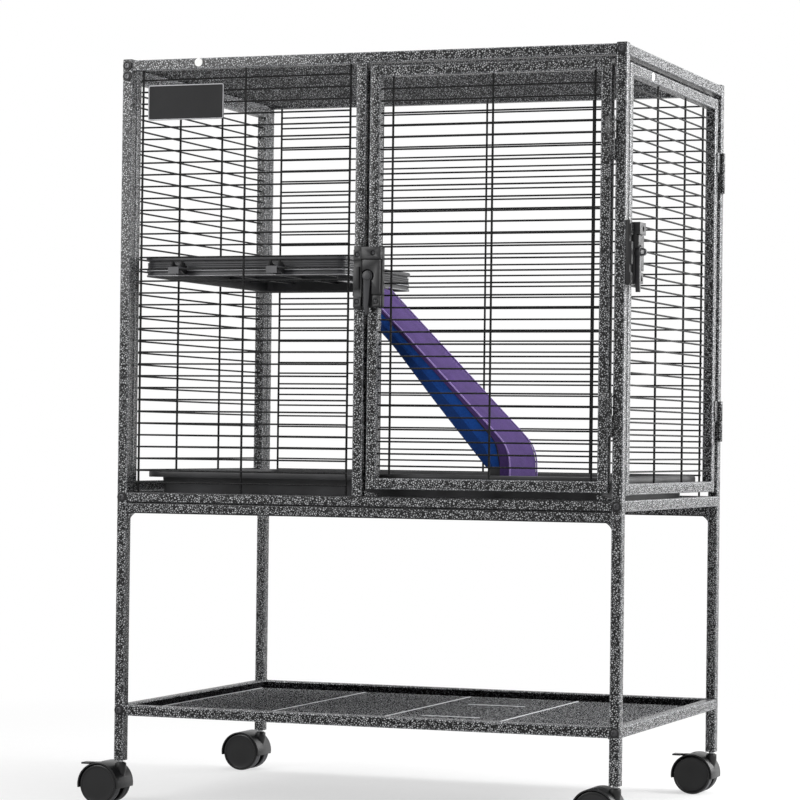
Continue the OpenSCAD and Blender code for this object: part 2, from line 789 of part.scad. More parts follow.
// The door's half: a bored barrel with its leaf along -X.
module hinge_door_half(reach) {
    difference() {
        union() {
            translate([0, 0, hinge_half + hinge_gap]) cylinder(h = hinge_half, r = barrel_radius);
            translate([-reach, hinge_standoff - leaf, hinge_half + hinge_gap])
                cube([reach, leaf, hinge_half]);
        }
        translate([0, 0, hinge_half]) cylinder(h = 2 * hinge_half, r = pin_radius + running_clearance);
    }
}

// Places hinge halves at both heights on the front and the side door.
module on_front_hinges() {
    for (z = [door_low + hinge_low_inset, door_high - hinge_high_inset - hinge_len])
        translate([front_hinge_x, front_hinge_y, z]) children();
}
module on_side_hinges() {
    for (z = [side_low + hinge_low_inset, side_high - hinge_high_inset - hinge_len])
        translate([side_hinge_x, side_hinge_y, z]) rotate([0, 0, 90]) children();
}

module hinge_pins() placed() color("dimgray") {
    on_front_hinges() hinge_post_half(leaf_reach);
    on_side_hinges() hinge_post_half(side_leaf_reach);
}
module front_hinge_eyes() placed() color("dimgray") on_front_hinges() hinge_door_half(leaf_reach);
module side_hinge_eyes() placed() color("dimgray") on_side_hinges() hinge_door_half(side_leaf_reach);

// ---- Latches ----

// Moves a latch piece, modelled around its pivot with -Y outwards, to a door.
module placed_latch(pivot, turn) translate(pivot) rotate([0, 0, turn]) children();

// Places of the screws, as [along the door, height], around the pivot.
case_screws = [
    [latch_screw_inset, latch_rise - latch_screw_inset],
    [latch_right - latch_foot_inset, -latch_drop + latch_foot_inset]
];
keeper_screw_heights = [latch_rise - keeper_screw_inset, -latch_drop + latch_foot_inset];

// A solid block that stands out from the door's face.
module block(x0, x1, out0, out1, z0, z1) {
    translate([x0, -out1, z0]) cube([x1 - x0, out1 - out0, z1 - z0]);
}

// Holes for screws that go back from the door's face.
module screw_holes(places, depth) {
    for (place = places)
        bore_y(place[0], -lever_front, place[1], screw_shank + running_clearance, lever_front + depth);
}

// The moulded case: a base plate, a block with a screw, a raised panel that is cut
// away around the lever, and a small block at the foot.
module latch_case() {
    sunk = latch_base - fuse;
    difference() {
        union() {
            block(latch_left, latch_right, 0, latch_base, -latch_drop, latch_rise);
            block(latch_left, latch_right, sunk, latch_front + 2 * latch_step,
                latch_rise - latch_top_block, latch_rise);
            block(latch_left + latch_step, latch_right - 2 * latch_step, sunk, latch_front,
                -latch_drop + latch_foot_block + 2 * latch_step,
                latch_rise - latch_top_block - latch_step);
            block(latch_right - latch_step - latch_foot_width, latch_right - latch_step,
                sunk, latch_front - latch_step, -latch_drop + latch_step,
                -latch_drop + latch_foot_block);
        }
        lever_room();
        screw_holes(case_screws, 0);
        screw_sinks();
        bore_y(0, -lever_front, 0, pivot_radius + running_clearance, lever_front - pivot_web);
    }
}

// The recess in the raised panel that the lever swings in.
module lever_room() {
    reach = lever_tail + lever_play;
    far = -2 * reach;
    translate([0, -latch_base, 0]) rotate([90, 0, 0]) linear_extrude(2 * latch_base) {
        circle(r = lever_head + lever_play);
        intersection() {
            circle(r = reach);
            polygon([[0, 0], [far, 0], [far, far], [lever_side, far], [lever_side, -lever_side - 1]]);
        }
    }
}

// Flat-bottomed sinks for the heads of the case's screws.
module screw_sinks() {
    for (place = case_screws)
        bore_y(place[0], -2 * latch_front, place[1], screw_head + head_play, latch_front + screw_sink);
}

// The lever: a round head, a tail that narrows to its tip, and a pivot pin behind.
module latch_lever() {
    pin = latch_base + lever_lift - pivot_web - pivot_end;
    translate([0, -latch_base - lever_lift, 0]) rotate([90, 0, 0]) {
        linear_extrude(lever_thick - lever_crown) circle(r = lever_head);
        linear_extrude(lever_thick) circle(r = lever_head - lever_crown);
        linear_extrude(lever_thick - lever_crown) lever_outline();
        translate([0, 0, -pin]) cylinder(h = pin + fuse, r = pivot_radius);
    }
}

module lever_outline() {
    polygon([
        [-lever_half, 0], [lever_half, 0], [0.6 * lever_half, -0.55 * lever_tail],
        [0.25 * lever_half, -0.85 * lever_tail], [0, -lever_tail], [-lever_tip, -lever_tail],
        [-lever_half, -0.8 * lever_tail]
    ]);
}

// The ring on the side lever's head that a finger pulls.
module finger_ring() {
    translate([0, -lever_front - ring_standoff, 0]) rotate([0, 90, 0]) difference() {
        cylinder(h = ring_width, r = ring_radius, center = true);
        cylinder(h = 2 * ring_width, r = ring_radius - ring_wall, center = true);
    }
}

// A keeper plate with a raised bar in its middle and a screw boss at each end.
module keeper(middle) {
    left = middle - keeper_width / 2;
    right = middle + keeper_width / 2;
    difference() {
        union() {
            block(left, right, 0, keeper_thick, -latch_drop - keeper_over, latch_rise + keeper_over);
            block(left, right - keeper_bar_back, keeper_thick - fuse, keeper_front,
                -keeper_bar_drop - keeper_bar / 2, -keeper_bar_drop + keeper_bar / 2);
            for (z = keeper_screw_heights)
                block(left, right, keeper_thick - fuse, keeper_thick + 2 * latch_step,
                    z - keeper_boss / 2, z + keeper_boss / 2);
        }
        for (z = keeper_screw_heights) {
            bore_y(middle, -keeper_front, z, screw_shank + running_clearance, 2 * keeper_front);
            bore_y(middle, -2 * keeper_front, z, screw_head + head_play,
                2 * keeper_front - keeper_thick);
        }
    }
}

// A screw along +Y with a round head in front and a square recess.
module latch_screw(x, head_front, z, length) {
    translate([x, -head_front, z]) rotate([-90, 0, 0]) difference() {
        union() {
            cylinder(h = screw_head_thick, r = screw_head);
            cylinder(h = length, r = screw_shank);
        }
        translate([0, 0, -1]) cylinder(h = 1 + screw_head_thick / 2, r = 0.4 * screw_head, $fn = 4);
    }
}

module case_screw_pair() {
    for (place = case_screws)
        latch_screw(place[0], latch_front - screw_sink + screw_head_thick, place[1],
            latch_front + screw_head_thick + tube_wall);
}

module keeper_screw_pair(middle) {
    for (z = keeper_screw_heights)
        latch_screw(middle, keeper_thick + screw_head_thick, z,
            keeper_thick + screw_head_thick - skin);
}

module front_latch_case() placed() color("black") placed_latch(front_pivot, 0) latch_case();
module side_latch_case() placed() color("black") placed_latch(side_pivot, 90) latch_case();
module front_latch_lever() placed() color("black") placed_latch(front_pivot, 0) latch_lever();
module side_latch_lever() placed() color("black") placed_latch(side_pivot, 90) {
    latch_lever();
    finger_ring();
}
module front_latch_screws() placed() color("black") placed_latch(front_pivot, 0) case_screw_pair();
module side_latch_screws() placed() color("black") placed_latch(side_pivot, 90) case_screw_pair();
module latch_keepers() placed() color("black") {
    placed_latch(front_pivot, 0) keeper(keeper_middle);
    placed_latch(side_pivot, 90) keeper(side_keeper_middle);
}
module keeper_screws() placed() color("black") {
    placed_latch(front_pivot, 0) keeper_screw_pair(keeper_middle);
    placed_latch(side_pivot, 90) keeper_screw_pair(side_keeper_middle);
}

// ---- Frame bolts ----

// A bolt along +Y whose head rests on a face at y.
module frame_bolt(x, y, z, grip) {
    dome = bolt_head_thick - bolt_flange;
    translate([x, y - bolt_head_thick, z]) rotate([-90, 0, 0]) difference() {
        union() {
            translate([0, 0, dome]) cylinder(h = bolt_flange, r = bolt_head);
            cylinder(h = dome, r1 = bolt_head - 1.2 * dome, r2 = bolt_head);
            cylinder(h = bolt_head_thick + tube + grip, r = bolt_shank);
        }
        translate([0, 0, -1]) cylinder(h = 1 + 0.9 * dome, r = 0.35 * bolt_head, $fn = 6);
    }
}

// The bolts through one post: storage rail, base rail and roof.
module post_bolts(x) {
    for (z = [storage_low + tube / 2, base_bolt, top_bolt]) frame_bolt(x, -half_d, z, bolt_grip);
}

module frame_bolts() placed() color("gray") {
    for (turn = [0, 1]) mirror([0, turn, 0]) {
        for (side = [-1, 1]) post_bolts(side * post_x);
        frame_bolt(-post_x, -half_d, panel_bolt, left_panel_gap + bolt_grip - plug_over);
    }
}

// ---- Shelf ----

// The plan of the half shelf and its landing, drawn in from its outline.
module shelf_plan(inset) {
    radius = max(shelf_corner - inset, 2);
    left = shelf_left + inset;
    front = -shelf_half_depth + inset;
    back = shelf_half_depth - inset;
    rounded_plate(left, shelf_right - inset, front, back, radius);
    rounded_plate(left, landing_end - inset, front, -shelf_half_depth + landing_depth - inset, radius);
}

// A rectangle between two corners, with rounded corners.
module rounded_plate(x0, x1, y0, y1, radius) {
    translate([x0 + radius, y0]) square([x1 - x0 - 2 * radius, y1 - y0]);
    translate([x0, y0 + radius]) square([x1 - x0, y1 - y0 - 2 * radius]);
    for (x = [x0 + radius, x1 - radius], y = [y0 + radius, y1 - radius])
        translate([x, y]) circle(r = radius);
}

// The half shelf is an upturned tray: a flat top with skirts and an open underside.
module half_shelf() placed() color("#2b2b2b") {
    difference() {
        translate([0, 0, shelf_low]) linear_extrude(shelf_skirt) shelf_plan(0);
        translate([0, 0, shelf_low - 1]) linear_extrude(shelf_skirt - moulded_wall + 1)
            shelf_plan(moulded_wall);
    }
    for (x = shelf_tabs, side = [-1, 1]) shelf_tab(x, side);
}

// Moulded pads on the skirts that the shelf's hooks are pressed on.
shelf_tabs = [shelf_left + tab_inset_left, shelf_right - tab_inset_right];
tab_low = shelf_low + tab_foot;
tab_high = tab_low + tab_height;

module shelf_tab(x, side) {
    near = side * (shelf_half_depth - fuse);
    far = side * (shelf_half_depth + tab_thick);
    translate([x - tab_width / 2, min(near, far), tab_low])
        cube([tab_width, abs(far - near), tab_high - tab_low]);
}

// Wire hooks from the shelf's pads over a rung of the front and of the back.
module shelf_hooks() placed() color("#2b2b2b") {
    for (x = shelf_tabs, side = [-1, 1]) shelf_hook(x, side);
}

// A flat hook: a stem against the pad, an arm out to the wires and a nose that turns down.
module shelf_hook(x, side) {
    start = shelf_half_depth + tab_thick;
    rung_y = half_d - wire_setback;
    heights = [for (z = rungs(base_top, ceiling)) if (z < tab_high) z];
    rung = max(heights);
    arm = rung + wire / 2 + skin;
    nose = rung_y + wire / 2 + skin;
    mirror([0, side < 0 ? 1 : 0, 0]) translate([x, 0, 0]) rotate([90, 0, 90])
        linear_extrude(hook_flat) {
            translate([start, tab_low]) square([hook_thick, arm + hook_thick - tab_low]);
            translate([start, arm]) square([nose + hook_thick - start, hook_thick]);
            translate([nose, arm - hook_nose]) square([hook_thick, hook_nose + hook_thick]);
        }
}

// ---- Ramp ----

// Moves an outline in the plane of the ramp's side to a slice across the ramp.
module ramp_slice(y0, y1) {
    translate([0, y1, 0]) rotate([90, 0, 0]) linear_extrude(y1 - y0) children();
}

ramp_front = -ramp_offset - ramp_width / 2;
ramp_rear = -ramp_offset + ramp_width / 2;

// Side outline of the board's cheeks, inside the sleeve.
module cheek_outline() {
    clear = [0, 1.3 * sleeve_wall];
    polygon([
        [landing_end + sleeve_wall, shelf_low - deck], seam_start, seam_shoulder, seam_knee, seam_toe,
        [seam_toe.x, ramp_base], [under_toe.x + sleeve_wall, ramp_base],
        under_toe + [sleeve_wall, sleeve_wall], under_lower + clear, under_upper + clear,
        under_start + clear, [landing_end, under_start.y + under_fall / 2]
    ]);
}

// Side outline of the board's flat top, under the pad.
module deck_outline() {
    low = ramp_base + 4 * deck;
    polygon([
        seam_start, seam_shoulder, seam_knee, seam_toe, [seam_toe.x, low],
        [seam_toe.x - deck, low], seam_toe - [deck, 0], seam_knee - [deck, deck / 5],
        seam_shoulder - [deck / 2, deck], seam_start - [deck / 2, 1.8 * deck]
    ]);
}

// A hook that reaches under the landing's end skirt and up behind it.
module ramp_hook_outline() {
    clear = moulded_wall / 2 + hook_gap;
    x = pivot_line.x;
    z = pivot_line.y;
    back = x - clear - hook_strap;
    polygon([
        [x + clear, z - clear / 2], [x + clear, z - clear], [x - clear, z - clear],
        [x - clear, z + hook_rise], [back, z + hook_rise], [back, z - clear - 1.3 * hook_strap],
        [landing_end + under_lead, seam_start.y - hook_strap / 2], seam_start + [0, -hook_strap / 2],
        [seam_start.x, seam_start.y + hook_strap]
    ]);
}

// The ramp's moulded board: a deck, two cheeks and two hooks.
module ramp_board() placed() color("#1d1d1d") {
    near = ramp_front + sleeve_wall;
    far = ramp_rear - sleeve_wall;
    ramp_slice(near, near + cheek) cheek_outline();
    ramp_slice(far - cheek, far) cheek_outline();
    ramp_slice(near + fuse, far - fuse) deck_outline();
    for (side = [-1, 1]) {
        middle = -ramp_offset + side * hook_spread;
        ramp_slice(middle - hook_width / 2, middle + hook_width / 2) ramp_hook_outline();
    }
}

// The blue cloth sleeve around the board's sides and underside.
module ramp_sleeve() placed() color("#0b2a52") {
    difference() {
        ramp_slice(ramp_front, ramp_rear) sleeve_outline();
        ramp_slice(ramp_front + sleeve_wall, ramp_rear - sleeve_wall) sleeve_room();
    }
}

module sleeve_outline() {
    polygon([seam_start, seam_shoulder, seam_knee, seam_toe, under_toe, under_lower, under_upper,
        under_start]);
}

// The space inside the sleeve, open at the top and at the foot.
module sleeve_room() {
    clear = [0, 1.3 * sleeve_wall];
    past = under_fall;
    polygon([
        seam_start + [-past, past], seam_start + [past, past / 2], seam_shoulder + [past, past / 2],
        seam_toe + [past, 0], seam_toe + [past, -past], under_toe + [sleeve_wall, -past],
        under_toe + [sleeve_wall, sleeve_wall], under_lower + clear, under_upper + clear,
        under_start + clear, under_start + clear + [-past, past / 2]
    ]);
}

// The purple padded top, which runs on down the board's foot.
module ramp_pad() placed() color("#6b5490") {
    ramp_slice(ramp_front, ramp_rear) polygon([
        pad_start, pad_shoulder, pad_toe, [pad_toe.x, ramp_base], [seam_toe.x, ramp_base],
        seam_toe, seam_knee, seam_shoulder, seam_start
    ]);
}

// ---- Tray ----

// The deep tray: a flat floor, upright walls, a wide rim and a turned-down edge.
module tray() placed() color("#262626") {
    body_x = tray_x - tray_rim;
    body_y = tray_y - tray_rim;
    inner = max(tray_corner - moulded_wall, 2);
    difference() {
        union() {
            translate([0, 0, tray_low]) linear_extrude(tray_depth)
                rounded_plate(-body_x, body_x, -body_y, body_y, tray_corner);
            translate([0, 0, tray_top - tray_edge]) linear_extrude(tray_edge)
                rounded_plate(-tray_x, tray_x, -tray_y, tray_y, tray_corner);
        }
        translate([0, 0, tray_floor]) linear_extrude(tray_depth)
            rounded_plate(-body_x + moulded_wall, body_x - moulded_wall,
                -body_y + moulded_wall, body_y - moulded_wall, inner);
        translate([0, 0, tray_top - tray_edge - 1])
            linear_extrude(tray_edge - moulded_wall + 1) difference() {
                rounded_plate(-tray_x + moulded_wall, tray_x - moulded_wall,
                    -tray_y + moulded_wall, tray_y - moulded_wall, inner);
                rounded_plate(-body_x, body_x, -body_y, body_y, tray_corner);
            }
    }
}

// Flat bars between the front and rear base rails that carry the tray.
module tray_supports() placed() color("dimgray") {
    for (x = spread(-inner_x / 2, inner_x / 2, 3))
        translate([x - support_width / 2, -inner_y, stand_top])
            cube([support_width, 2 * inner_y, support_thick]);
}

// ---- Nameplate ----

// A bare plate in front of the upper rungs, with two bosses that snap between them.
module nameplate() placed() color("#444444") {
    left = -inner_x + plate_inset;
    high = ceiling - plate_drop;
    back = -half_d + wire_setback - wire / 2;
    middle = high - plate_height / 2;
    gaps = [for (z = rungs(base_top, ceiling)) if (abs(z + wire_pitch / 2 - middle) < wire_pitch) z];
    translate([left, back, high - plate_height]) rotate([90, 0, 0]) linear_extrude(plate_thick)
        rounded_plate(0, plate_width, 0, plate_height, plate_corner);
    for (x = [left + boss_inset, left + plate_width - boss_inset - boss_width])
        translate([x, back - fuse, gaps[0] + wire])
            cube([boss_width, boss_depth + fuse, wire_pitch - 2 * wire]);
}

// ---- Casters ----

// Moves a caster, modelled around its stem's axis, under a leg.
module under_leg(sx, sy) placed() translate([sx * post_x, sy * post_y, 0]) children();

// A disc or ring's blank along Y around the axle's line.
module disc_y(x, z, radius, y0, y1) {
    translate([x, y1, z]) rotate([90, 0, 0]) cylinder(h = y1 - y0, r = radius);
}

// Inserts in the legs' open ends, bored for the casters' stems.
module stem_sockets() color("black") {
    for (sx = [-1, 1], sy = [-1, 1]) under_leg(sx, sy) translate([0, 0, leg_bottom])
        difference() {
            linear_extrude(stem_rise + 2)
                square(tube - 2 * tube_wall - 2 * running_clearance, center = true);
            translate([0, 0, -1]) cylinder(h = stem_rise + 2, r = stem_radius + running_clearance);
        }
}

// The housing: a web between the wheels, a hood over them and a boss for the stem.
module caster_housing(braked) {
    axle_x = -caster_trail;
    wide = caster_half;
    boss = web / 2;
    high = wheel_radius + hood_radius;
    difference() {
        union() {
            difference() {
                disc_y(axle_x, wheel_radius, hood_radius, -wide, wide);
                disc_y(axle_x, wheel_radius, hood_radius - hood_wall, -wide - 1, wide + 1);
                hood_cut(axle_x);
            }
            difference() {
                disc_y(axle_x, wheel_radius, hood_radius - hood_wall / 2, -web / 2, web / 2);
                hood_cut(axle_x);
            }
            disc_y(axle_x, wheel_radius, wheel_radius / 2, -web / 2, web / 2);
            translate([0, 0, wheel_radius]) cylinder(h = high - wheel_radius, r = boss);
        }
        disc_y(axle_x, wheel_radius, axle_radius + running_clearance, -web, web);
        translate([0, 0, wheel_radius + stem_seat])
            cylinder(h = high, r = stem_radius + running_clearance);
        if (braked) brake_room(axle_x);
    }
}

// What is cut away from the hood and the web, below the hood's lower edge.
module hood_cut(axle_x) {
    wide = caster_half + 1;
    high = hood_radius + 1 - hood_below;
    translate([axle_x - 2 * hood_radius, -wide, wheel_radius - hood_radius - 1])
        cube([4 * hood_radius, 2 * wide, high]);
}

// The slot in the hood and the web that the brake lever swings in.
module brake_room(axle_x) {
    x = axle_x + brake_pivot.x;
    z = wheel_radius + brake_pivot.y;
    half = web / 2 - brake_cheek;
    back = 0.8 * brake_reach;
    low = 2 * brake_boss;
    translate([x - back, -half, z - low]) cube([back + low, 2 * half, low + web]);
    disc_y(x, z, brake_pin + running_clearance, -web, web);
}

// The steel stem and the axle of one caster, with the brake's pin where there is one.
module caster_steel(braked) {
    axle_x = -caster_trail;
    low = wheel_radius + stem_seat + skin;
    axle = caster_half - axle_short;
    translate([0, 0, low]) cylinder(h = leg_bottom + stem_rise - low, r = stem_radius);
    disc_y(axle_x, wheel_radius, axle_radius, -axle, axle);
    if (braked)
        disc_y(axle_x + brake_pivot.x, wheel_radius + brake_pivot.y, brake_pin, -web / 2, web / 2);
}

// A wheel with a flush cap outside and a blind bore inside; side is -1 for the near one.
module caster_wheel(side) {
    inner_face = web / 2 + wheel_gap;
    edge = wheel_radius - wheel_bevel;
    middle = wheel_width - 2 * wheel_bevel;
    translate([-caster_trail, side * inner_face, wheel_radius]) rotate([side * -90, 0, 0])
        difference() {
            union() {
                cylinder(h = wheel_bevel, r1 = edge, r2 = wheel_radius);
                translate([0, 0, wheel_bevel]) cylinder(h = middle, r = wheel_radius);
                translate([0, 0, wheel_bevel + middle])
                    cylinder(h = wheel_bevel, r1 = wheel_radius, r2 = edge);
            }
            translate([0, 0, -1]) cylinder(h = wheel_width - 1, r = axle_radius + running_clearance);
        }
}

// A brake lever: an arm through the hood's slot with a foot pad outside.
module brake_lever() {
    half = web / 2 - brake_cheek - skin;
    x = -caster_trail + brake_pivot.x;
    z = wheel_radius + brake_pivot.y;
    top = brake_lift + brake_thick;
    difference() {
        union() {
            translate([x, half, z]) rotate([90, 0, 0]) linear_extrude(2 * half)
                polygon([
                    [-brake_boss, -brake_boss], [brake_boss, -brake_boss], [brake_boss, brake_boss],
                    [-brake_boss / 2, top + 1], [-brake_neck - 1, top],
                    [-brake_neck - 1, brake_lift], [-1.5 * brake_boss, brake_lift - 1]
                ]);
            translate([x - brake_reach, -brake_pad / 2, z + brake_lift])
                cube([brake_reach - brake_neck, brake_pad, brake_thick]);
        }
        disc_y(x, z, brake_pin + running_clearance, -web, web);
    }
}

module caster_front_left() under_leg(-1, -1) color("#222222") caster_housing(true);
module caster_front_right() under_leg(1, -1) color("#222222") caster_housing(false);
module caster_rear_left() under_leg(-1, 1) color("#222222") caster_housing(false);
module caster_rear_right() under_leg(1, 1) color("#222222") caster_housing(true);
module stem_and_axle_front_left() under_leg(-1, -1) color("silver") caster_steel(true);
module stem_and_axle_front_right() under_leg(1, -1) color("silver") caster_steel(false);
module stem_and_axle_rear_left() under_leg(-1, 1) color("silver") caster_steel(false);
module stem_and_axle_rear_right() under_leg(1, 1) color("silver") caster_steel(true);
module wheel_front_left_near() under_leg(-1, -1) color("#161616") caster_wheel(-1);
module wheel_front_left_far() under_leg(-1, -1) color("#161616") caster_wheel(1);
module wheel_front_right_near() under_leg(1, -1) color("#161616") caster_wheel(-1);
module wheel_front_right_far() under_leg(1, -1) color("#161616") caster_wheel(1);
module wheel_rear_left_near() under_leg(-1, 1) color("#161616") caster_wheel(-1);
module wheel_rear_left_far() under_leg(-1, 1) color("#161616") caster_wheel(1);
module wheel_rear_right_near() under_leg(1, 1) color("#161616") caster_wheel(-1);
module wheel_rear_right_far() under_leg(1, 1) color("#161616") caster_wheel(1);
module brake_lever_front() under_leg(-1, -1) color("#161616") brake_lever();
module brake_lever_rear() under_leg(1, 1) color("#161616") brake_lever();

stand_front_frame();
stand_rear_frame();
storage_side_rails();
storage_panel();
post_front_left();
post_front_right();
post_rear_left();
post_rear_right();
post_caps();
base_rail_front();
base_rail_rear();
base_rail_left();
base_rail_right();
top_panel();
back_wires();
front_wires();
front_mullion();
left_panel();
front_door_panel();
side_door_panel();
hinge_pins();
front_hinge_eyes();
side_hinge_eyes();
front_latch_case();
front_latch_lever();
side_latch_case();
side_latch_lever();
latch_keepers();
frame_bolts();
keeper_screws();
front_latch_screws();
side_latch_screws();
half_shelf();
shelf_hooks();
ramp_board();
ramp_sleeve();
ramp_pad();
tray();
tray_supports();
nameplate();
door_stops();
stem_sockets();
caster_front_left();
caster_front_right();
caster_rear_left();
caster_rear_right();
stem_and_axle_front_left();
stem_and_axle_front_right();
stem_and_axle_rear_left();
stem_and_axle_rear_right();
wheel_front_left_near();
wheel_front_left_far();
wheel_front_right_near();
wheel_front_right_far();
wheel_rear_left_near();
wheel_rear_left_far();
wheel_rear_right_near();
wheel_rear_right_far();
brake_lever_front();
brake_lever_rear();
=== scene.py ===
# A wide wire cage for ferrets on an open stand with four twin-wheel casters.
# Lengths are in millimetres in the cage's own frame: X to the right from the middle of its
# width, Y to the back from the middle of its depth, Z up from the floor.
import math

import bmesh
import bpy
from mathutils import Matrix, Vector, noise


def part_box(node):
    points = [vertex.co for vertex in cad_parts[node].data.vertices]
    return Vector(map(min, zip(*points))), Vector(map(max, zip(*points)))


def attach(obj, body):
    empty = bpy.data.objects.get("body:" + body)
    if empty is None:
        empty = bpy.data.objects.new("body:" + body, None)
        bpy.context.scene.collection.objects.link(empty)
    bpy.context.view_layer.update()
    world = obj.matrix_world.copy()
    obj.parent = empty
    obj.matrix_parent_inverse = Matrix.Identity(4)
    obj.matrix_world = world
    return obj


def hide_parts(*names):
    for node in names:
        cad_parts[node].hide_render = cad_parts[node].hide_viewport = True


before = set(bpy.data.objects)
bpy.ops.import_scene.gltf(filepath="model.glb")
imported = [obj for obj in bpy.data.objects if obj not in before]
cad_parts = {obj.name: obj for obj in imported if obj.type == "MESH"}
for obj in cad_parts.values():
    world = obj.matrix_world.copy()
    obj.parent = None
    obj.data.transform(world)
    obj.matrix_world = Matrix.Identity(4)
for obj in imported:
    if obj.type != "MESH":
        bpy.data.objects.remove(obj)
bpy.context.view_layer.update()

# ---- The photographer's camera ----
# The camera stands to the right of the cage, at about half its height, and looks almost
# level. Its place comes from the edges of the posts and rails in the photograph.
MM = 0.001
CAGE_MIDDLE = (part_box("post_front_left")[0].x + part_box("post_front_right")[1].x) / 2
TO_FRAME = Matrix.Translation((CAGE_MIDDLE, 0, 0)) @ Matrix.Scale(MM, 4)
CAMERA_PLACE, YAW_PITCH_ROLL = (1594.4, -4392.4, 545.9), (20.47, 0.81, 0.70)
LENS, SENSOR = 136.6, 36.0


def new_object(name, data):
    made = bpy.data.objects.new(name, data)
    bpy.context.scene.collection.objects.link(made)
    return made


def set_up_camera():
    yaw, pitch, roll = (math.radians(a) for a in YAW_PITCH_ROLL)
    forward = Vector((-math.sin(yaw) * math.cos(pitch), math.cos(yaw) * math.cos(pitch),
                      math.sin(pitch)))
    level = Vector((math.cos(yaw), math.sin(yaw), 0))
    raised = level.cross(forward)
    right = level * math.cos(roll) + raised * math.sin(roll)
    up = raised * math.cos(roll) - level * math.sin(roll)
    data = bpy.data.cameras.new("photo_camera")
    data.lens, data.sensor_width = LENS, SENSOR
    camera = new_object("photo_camera", data)
    turn = Matrix((right, up, -forward)).transposed().to_4x4()
    camera.matrix_world = Matrix.Translation(TO_FRAME @ Vector(CAMERA_PLACE)) @ turn
    bpy.context.scene.camera = camera


set_up_camera()

# ---- The stand ----
# Two welded frames of square steel tube, each with two legs, a top rail and a storage rail,
# joined by two side rails. The tube's ends are welded before the whole is powder coated.
TUBE, WALL, CORNER = 16.0, 1.2, 2.0
HALF_W, HALF_D = 393.5, 275.0
POST_X, POST_Y = HALF_W - TUBE / 2, HALF_D - TUBE / 2
INNER_X, INNER_Y = HALF_W - TUBE, HALF_D - TUBE
STAND_TOP, STORAGE_TOP, LEG_BOTTOM = 452.0, 149.0, 66.0
STAND_RAIL, STORAGE_RAIL = STAND_TOP - TUBE / 2, STORAGE_TOP - TUBE / 2
WELD, BEAD, BEAD_STEP = 0.5, 1.25, 1.8
# Half the length of a seam across a tube and of one along an edge, and how deep both lie.
SEAM_HALF, LONG_SEAM_HALF, SEAM_SINK, GUSSET_HALF = 6.0, 8.0, 0.6, 6.0
SIDES = (-1, 1)


def linear(hex_colour):
    """An sRGB hex colour as the linear colour that a shader takes."""
    parts = [int(hex_colour[i:i + 2], 16) / 255 for i in (1, 3, 5)]
    return [p / 12.92 if p <= 0.04045 else ((p + 0.055) / 1.055) ** 2.4 for p in parts] + [1.0]


def node_adder(tree, prefix):
    """A function that adds a node with its inputs, as values or links, its settings and a
    colour ramp's stops, and gives the output that is asked for, or else the node."""
    def put(kind, result=None, inputs=None, stops=(), **settings):
        node = tree.nodes.new(prefix + kind)
        for key, value in settings.items():
            setattr(node, key, value)
        for key, value in (inputs or {}).items():
            if isinstance(value, bpy.types.NodeSocket):
                tree.links.new(value, node.inputs[key])
            else:
                node.inputs[key].default_value = value
        if stops:
            marks = node.color_ramp.elements
            while len(marks) > 1:
                marks.remove(marks[-1])
            marks[0].position, marks[0].color = stops[0][0], linear(stops[0][1])
            for position, colour in stops[1:]:
                marks.new(position).color = linear(colour)
        return node.outputs[result] if result else node
    return put


def new_material(name):
    material = bpy.data.materials.new(name)
    material.use_nodes = True
    material.node_tree.nodes.clear()
    return material, node_adder(material.node_tree, "ShaderNode")


def finished(material, put, inputs):
    """Ends a material with one principled surface."""
    put("OutputMaterial", inputs={"Surface": put("BsdfPrincipled", "BSDF", inputs)})
    return material


def hammertone_coat(name, vein, body, fleck, grain=2.8, gloss=0.15, metal=0.0, clear=0.25,
                    crest_highlight_from=None):
    """Hammertone powder coat, sprayed and baked: dark veins around raised silvery flecks, which the
    eye sees as an even salt-and-pepper grain. Crests above a height are painted pale, partly as
    wear and partly as a painted highlight."""
    material, put = new_material(name)
    place = put("TexCoord", "Object")
    drift = put("TexNoise", "Color", {"Vector": place, "Scale": 400.0, "Detail": 1.0})
    centred = put("VectorMath", "Vector", {0: drift, 1: (0.5, 0.5, 0.5)}, operation="SUBTRACT")
    pushed = put("VectorMath", "Vector", {0: centred, 1: (0.0009, 0.0009, 0.0009), 2: place},
                 operation="MULTIPLY_ADD")
    cells = {"Vector": pushed, "Scale": 1000.0 / grain}
    edge = put("TexVoronoi", "Distance", cells, feature="DISTANCE_TO_EDGE")
    height = put("MapRange", "Result", {"Value": edge, "From Min": 0.03, "From Max": 0.34},
                 interpolation_type="SMOOTHSTEP")
    # Each fleck has its own brightness, from a dull grey to silver.
    own = put("SeparateColor", "Red", {"Color": put("TexVoronoi", "Color", cells)})
    share = put("MapRange", "Result", {"Value": own, "To Min": 0.62})
    spark = put("Math", "Value", {0: height, 1: share}, operation="MULTIPLY")
    if crest_highlight_from is not None:
        level = put("SeparateXYZ", "Z", {"Vector": place})
        crest = put("MapRange", "Result", {"Value": level, "From Min": crest_highlight_from * MM,
                                           "From Max": (crest_highlight_from + 0.5) * MM})
        spark = put("Math", "Value", {0: spark, 1: crest}, operation="MAXIMUM")
    colour = put("ValToRGB", "Color", {"Fac": spark},
                 [(0.0, vein), (0.34, body), (0.7, fleck), (1.0, fleck)])
    relief = put("Bump", "Normal", {"Height": height, "Strength": 0.35, "Distance": 0.0004})
    rough = put("MapRange", "Result", {"Value": height, "To Min": 0.55, "To Max": 0.36})
    return finished(material, put, {
        "Base Color": colour, "Roughness": rough, "Metallic": metal, "Specular IOR Level": gloss,
        "Coat Weight": clear, "Coat Roughness": 0.12, "Normal": relief})


# Its grain is about one and a half times the real one, so that it still shows from afar.
HAMMERTONE = hammertone_coat("hammertone_powder_coat", "#050506", "#1c1d1e", "#b0b1b3")
